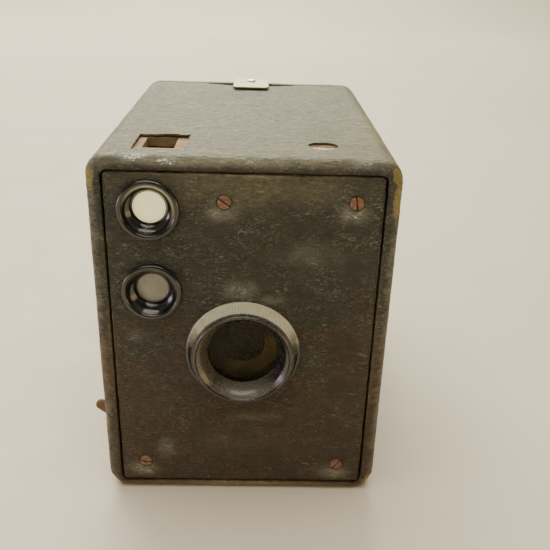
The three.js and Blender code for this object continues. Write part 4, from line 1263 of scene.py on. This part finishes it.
def make_key(metal):
    """The winding key: a flat wing on a round shaft that ends in a blade."""
    low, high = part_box("winding_key")
    wing = rounded(low.x, low.x + WING_LENGTH * MM, low.y, high.y, WING_CORNER * MM, 12)
    half = WING_THICKNESS / 2 * MM
    piece = ride_on("winding_key_fine", prism(wing, "z", key_centre.z - half, key_centre.z + half),
                    metal, "winding_key", "nickel", "winding_key")
    root, foot = low.x + 3.2 * MM, high.x - 5.1 * MM
    radius = KEY_SHAFT * MM
    shaft = [(0.0, root), (radius * 0.8, root), (radius, root + 1.2 * MM), (radius, foot), (0.0, foot)]
    half_blade = BLADE_WIDTH / 2 * MM
    blade = rectangle(foot - 0.5 * MM, high.x, key_centre.y - half_blade, key_centre.y + half_blade)
    combine(piece, [turned_mesh("shaft", shaft, key_centre, "x", 40, False),
                    prism(blade, "z", key_centre.z - 0.5 * MM, key_centre.z + 0.5 * MM)], "UNION")
    piece.data.shade_smooth()
    piece.data.set_sharp_from_angle(angle=math.radians(30))
    soften(piece, 0.35, 3)
    return piece


def make_rivet(metal):
    """The latch's catch: a bright dome above the tongue, and its head below."""
    outline, centre, _ = meridian("latch_rivet", "z")
    _, _, foot, crown = extent(outline)
    dome_foot = crown - 0.9 * MM
    stem = placed([(0, 0), (2.0, 0), (2.1, 0.1), (2.1, 0.35), (1.35, 0.35)], foot) + [(1.35 * MM, dome_foot)]
    dome = placed([(1.9, 0), (1.86, 0.2), (1.6, 0.56), (1.0, 0.8), (0, 0.9)], dome_foot)
    mesh = turned_mesh("latch_rivet_fine", stem + eased(dome, 0.12), centre, "z", 48, False)
    mesh.set_sharp_from_angle(angle=math.radians(40))
    return ride_on("latch_rivet_fine", mesh, metal, "latch", "nickel", "latch_rivet")


def make_nails(node, axis, sign, inset, radius, metal):
    """Four small domed nails in the corners of a flat fitting, on the face that looks along the axis."""
    along = "xyz".index(axis)
    first, second = [i for i in range(3) if i != along]
    low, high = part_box(node)
    face = (high if sign > 0 else low)[along]
    whole = bmesh.new()
    for a, b in ((0, 0), (0, 1), (1, 0), (1, 1)):
        centre = Vector((0, 0, 0))
        centre[along] = face
        centre[first] = (high[first] - inset) if a else (low[first] + inset)
        centre[second] = (high[second] - inset) if b else (low[second] + inset)
        dome = [(0.0, face + sign * 0.42 * radius), (0.45 * radius, face + sign * 0.36 * radius),
                (0.8 * radius, face + sign * 0.18 * radius), (radius, face), (radius, face - sign * 0.1 * MM),
                (0.0, face - sign * 0.1 * MM)]
        mesh = turned_mesh("nail", dome, centre, axis, 20, False)
        whole.from_mesh(mesh)
        bpy.data.meshes.remove(mesh)
    mesh = bpy.data.meshes.new(node + "_nails")
    whole.to_mesh(mesh)
    whole.free()
    mesh.shade_smooth()
    mesh.set_sharp_from_angle(angle=math.radians(50))
    return ride_on(mesh.name, mesh, metal, body_of(node), "brass")


# ---------------------------------------------------------------- everything in its place

def dress():
    cloth = leathercloth()
    pale = bare_wood("pale_wood", (0.47, 0.335, 0.20), (0.27, 0.17, 0.09), (0.10, 0.07, 0.042))
    black_wood = painted_wood()
    enamel = black_enamel("black_enamel", -0.1, 0.12, 0.24)
    ring_enamel = black_enamel("ring_enamel", 0.0, 0.2, 0.34)
    card = black_card()
    mirror = silvering()
    ruby = ruby_celluloid()
    rusty = rust("rusty_steel", (0.30, 0.150, 0.078), (0.14, 0.072, 0.042), 0.52)
    # Each metal: its bright, dull and tarnished colours, roughness from and to, and where the tarnish starts.
    nickel, pale_nickel, bright_nickel, brass, slide_brass_painted_light, tarnished_brass_painted_light, steel = (plated(*metal) for metal in (
        ("nickel", (0.74, 0.70, 0.60), (0.50, 0.47, 0.38), (0.20, 0.15, 0.09), 0.22, 0.42, 0.56),
        ("pale_nickel", (0.43, 0.415, 0.275), (0.36, 0.345, 0.225), (0.22, 0.19, 0.11), 0.42, 0.55, 0.62),
        ("bright_nickel", (0.90, 0.94, 0.92), (0.80, 0.84, 0.80), (0.5, 0.5, 0.44), 0.2, 0.3, 0.7),
        ("brass", (0.62, 0.43, 0.17), (0.34, 0.22, 0.09), (0.10, 0.06, 0.03), 0.28, 0.5, 0.5),
        ("slide_brass_painted_light", (0.80, 0.60, 0.34), (0.66, 0.48, 0.26), (0.34, 0.24, 0.12), 0.5, 0.65, 0.6),
        ("tarnished_brass_painted_light", (0.22, 0.155, 0.07), (0.13, 0.09, 0.04), (0.06, 0.04, 0.02), 0.5, 0.7, 0.5),
        ("black_steel", (0.035, 0.035, 0.038), (0.018, 0.017, 0.017), (0.07, 0.035, 0.02), 0.4, 0.6, 0.6)))
    # Each glass: the colours of glass and film, how clouded, how much more so in patches, and roughness,
    # then its index, glow and the size of the patches where they aren't the usual ones.
    # The finder glasses are lit and shaded copies of one glass: the upper is painted cream and glows, painted
    # light for the bright sky in its mirror; the lower is clouded grey, painted shade for its dimmer mirror.
    lens_glass, upper_glass_painted_light, lower_glass_painted_shade, ground_glass = (old_glass(*glass) for glass in (
        ("glass", (0.75, 0.70, 0.52), (0.16, 0.155, 0.10), 0.05, 0.07, 0.03, 1.18, 0.0, 4.0),
        ("upper_finder_glass_painted_light", (0.9, 0.9, 0.8), (0.95, 0.90, 0.54), 0.85, 0.15, 0.2, 1.52, 0.6),
        ("lower_finder_glass_painted_shade", (0.85, 0.87, 0.82), (0.36, 0.35, 0.28), 0.42, 0.35, 0.15),
        ("ground_glass", (0.86, 0.87, 0.84), (0.62, 0.60, 0.54), 0.5, 0.35, 0.5)))

    dress_case(cloth)
    dress_panel(cloth)
    dress_door(cloth)
    make_lens_ring(ring_enamel)
    for finder, glass in (("upper", upper_glass_painted_light), ("lower", lower_glass_painted_shade)):
        make_bezel(f"{finder}_finder_bezel", enamel)
        respun(f"{finder}_finder_lens", glass, "glass", "y", 64, 0.06)
    respun("lens", lens_glass, "glass", "y", 96, 0.06)
    for number, turn in enumerate(SCREW_TURNS, 1):
        make_screw(number, turn, rusty)
    make_key(nickel)
    make_rivet(bright_nickel)

    for node in ("top_board", "bottom_board", "left_board", "right_board",
                 "front_top_rail", "front_bottom_rail"):
        refined(node, pale, "pale_wood", 0.15)
    for node in ("front_panel", "shutter_board", "carrier_left_plate", "carrier_right_plate", "back_board"):
        refined(node, black_wood, "black_wood", 0.3)
    for node in ("finder_housing", "light_cone"):
        refined(node, card, "black_card", 0.1)
    for node in ("upper_finder_mirror", "lower_finder_mirror"):
        refined(node, mirror, "mirror", 0.15)
    refined("side_finder_glass", ground_glass, "ground_glass", 0.1)
    for node in ("side_finder_frame", "hinge_case_leaf", "hinge_door_leaf"):
        refined(node, brass, "brass", 0.12)
    # The time slide's brass is paler than the other brass: painted light where the slide lies in shade in its
    # slot.
    refined("time_slide", slide_brass_painted_light, "brass", 0.12)
    make_nails("side_finder_frame", "x", -1, 1.25 * MM, 0.6 * MM, brass)
    make_nails("hinge_door_leaf", "y", 1, 2.6 * MM, 1.0 * MM, brass)
    refined("gate_frame", nickel, "nickel", 0.16)
    for node in ("latch_tongue", "latch_bracket"):
        refined(node, pale_nickel, "nickel", 0.16)
    for node in ("shutter_lever", "shutter_spring"):
        refined(node, rusty, "rusty_steel", 0.12)
    refined("stop_plate", stop_plate_painted_light(), "black_steel", 0.08)
    refined("shutter_disc", steel, "black_steel", 0.08)
    refined("spool_core", pale, "pale_wood", 0.2)
    for node in ("upper_roller", "lower_roller", "take_up_pin", "supply_pin_right", "supply_pin_left",
                 "key_escutcheon", "key_collar"):
        respun(node, nickel, "nickel", "x", 64, 0.15)
    for node in ("spool_flange_left", "spool_flange_right"):
        respun(node, steel, "black_steel", "x", 72, 0.12)
    # The retaining ring's brass is tarnished brown and lightened, as painted light in the deep shade behind
    # the lens.
    respun("lens_retaining_ring", tarnished_brass_painted_light, "brass", "y", 96, 0.1)
    for node in ("shutter_pivot", "lever_pivot"):
        respun(node, brass, "brass", "y", 64, 0.1)
    respun("red_window_ring", brass, "brass", "y", 80, 0.12)
    respun("red_window", ruby, "red_celluloid", "y", 64, 0.08)
    respun("hinge_pin", brass, "brass", "x", 24, 0.1)
    respun("bottom_tripod_socket", brass, "brass", "z", 72, 0.2)
    respun("side_tripod_socket", brass, "brass", "x", 72, 0.2)


make_camera()
floor = make_floor()
floor.data.materials.append(floor_sheet())
make_lights()
dress()
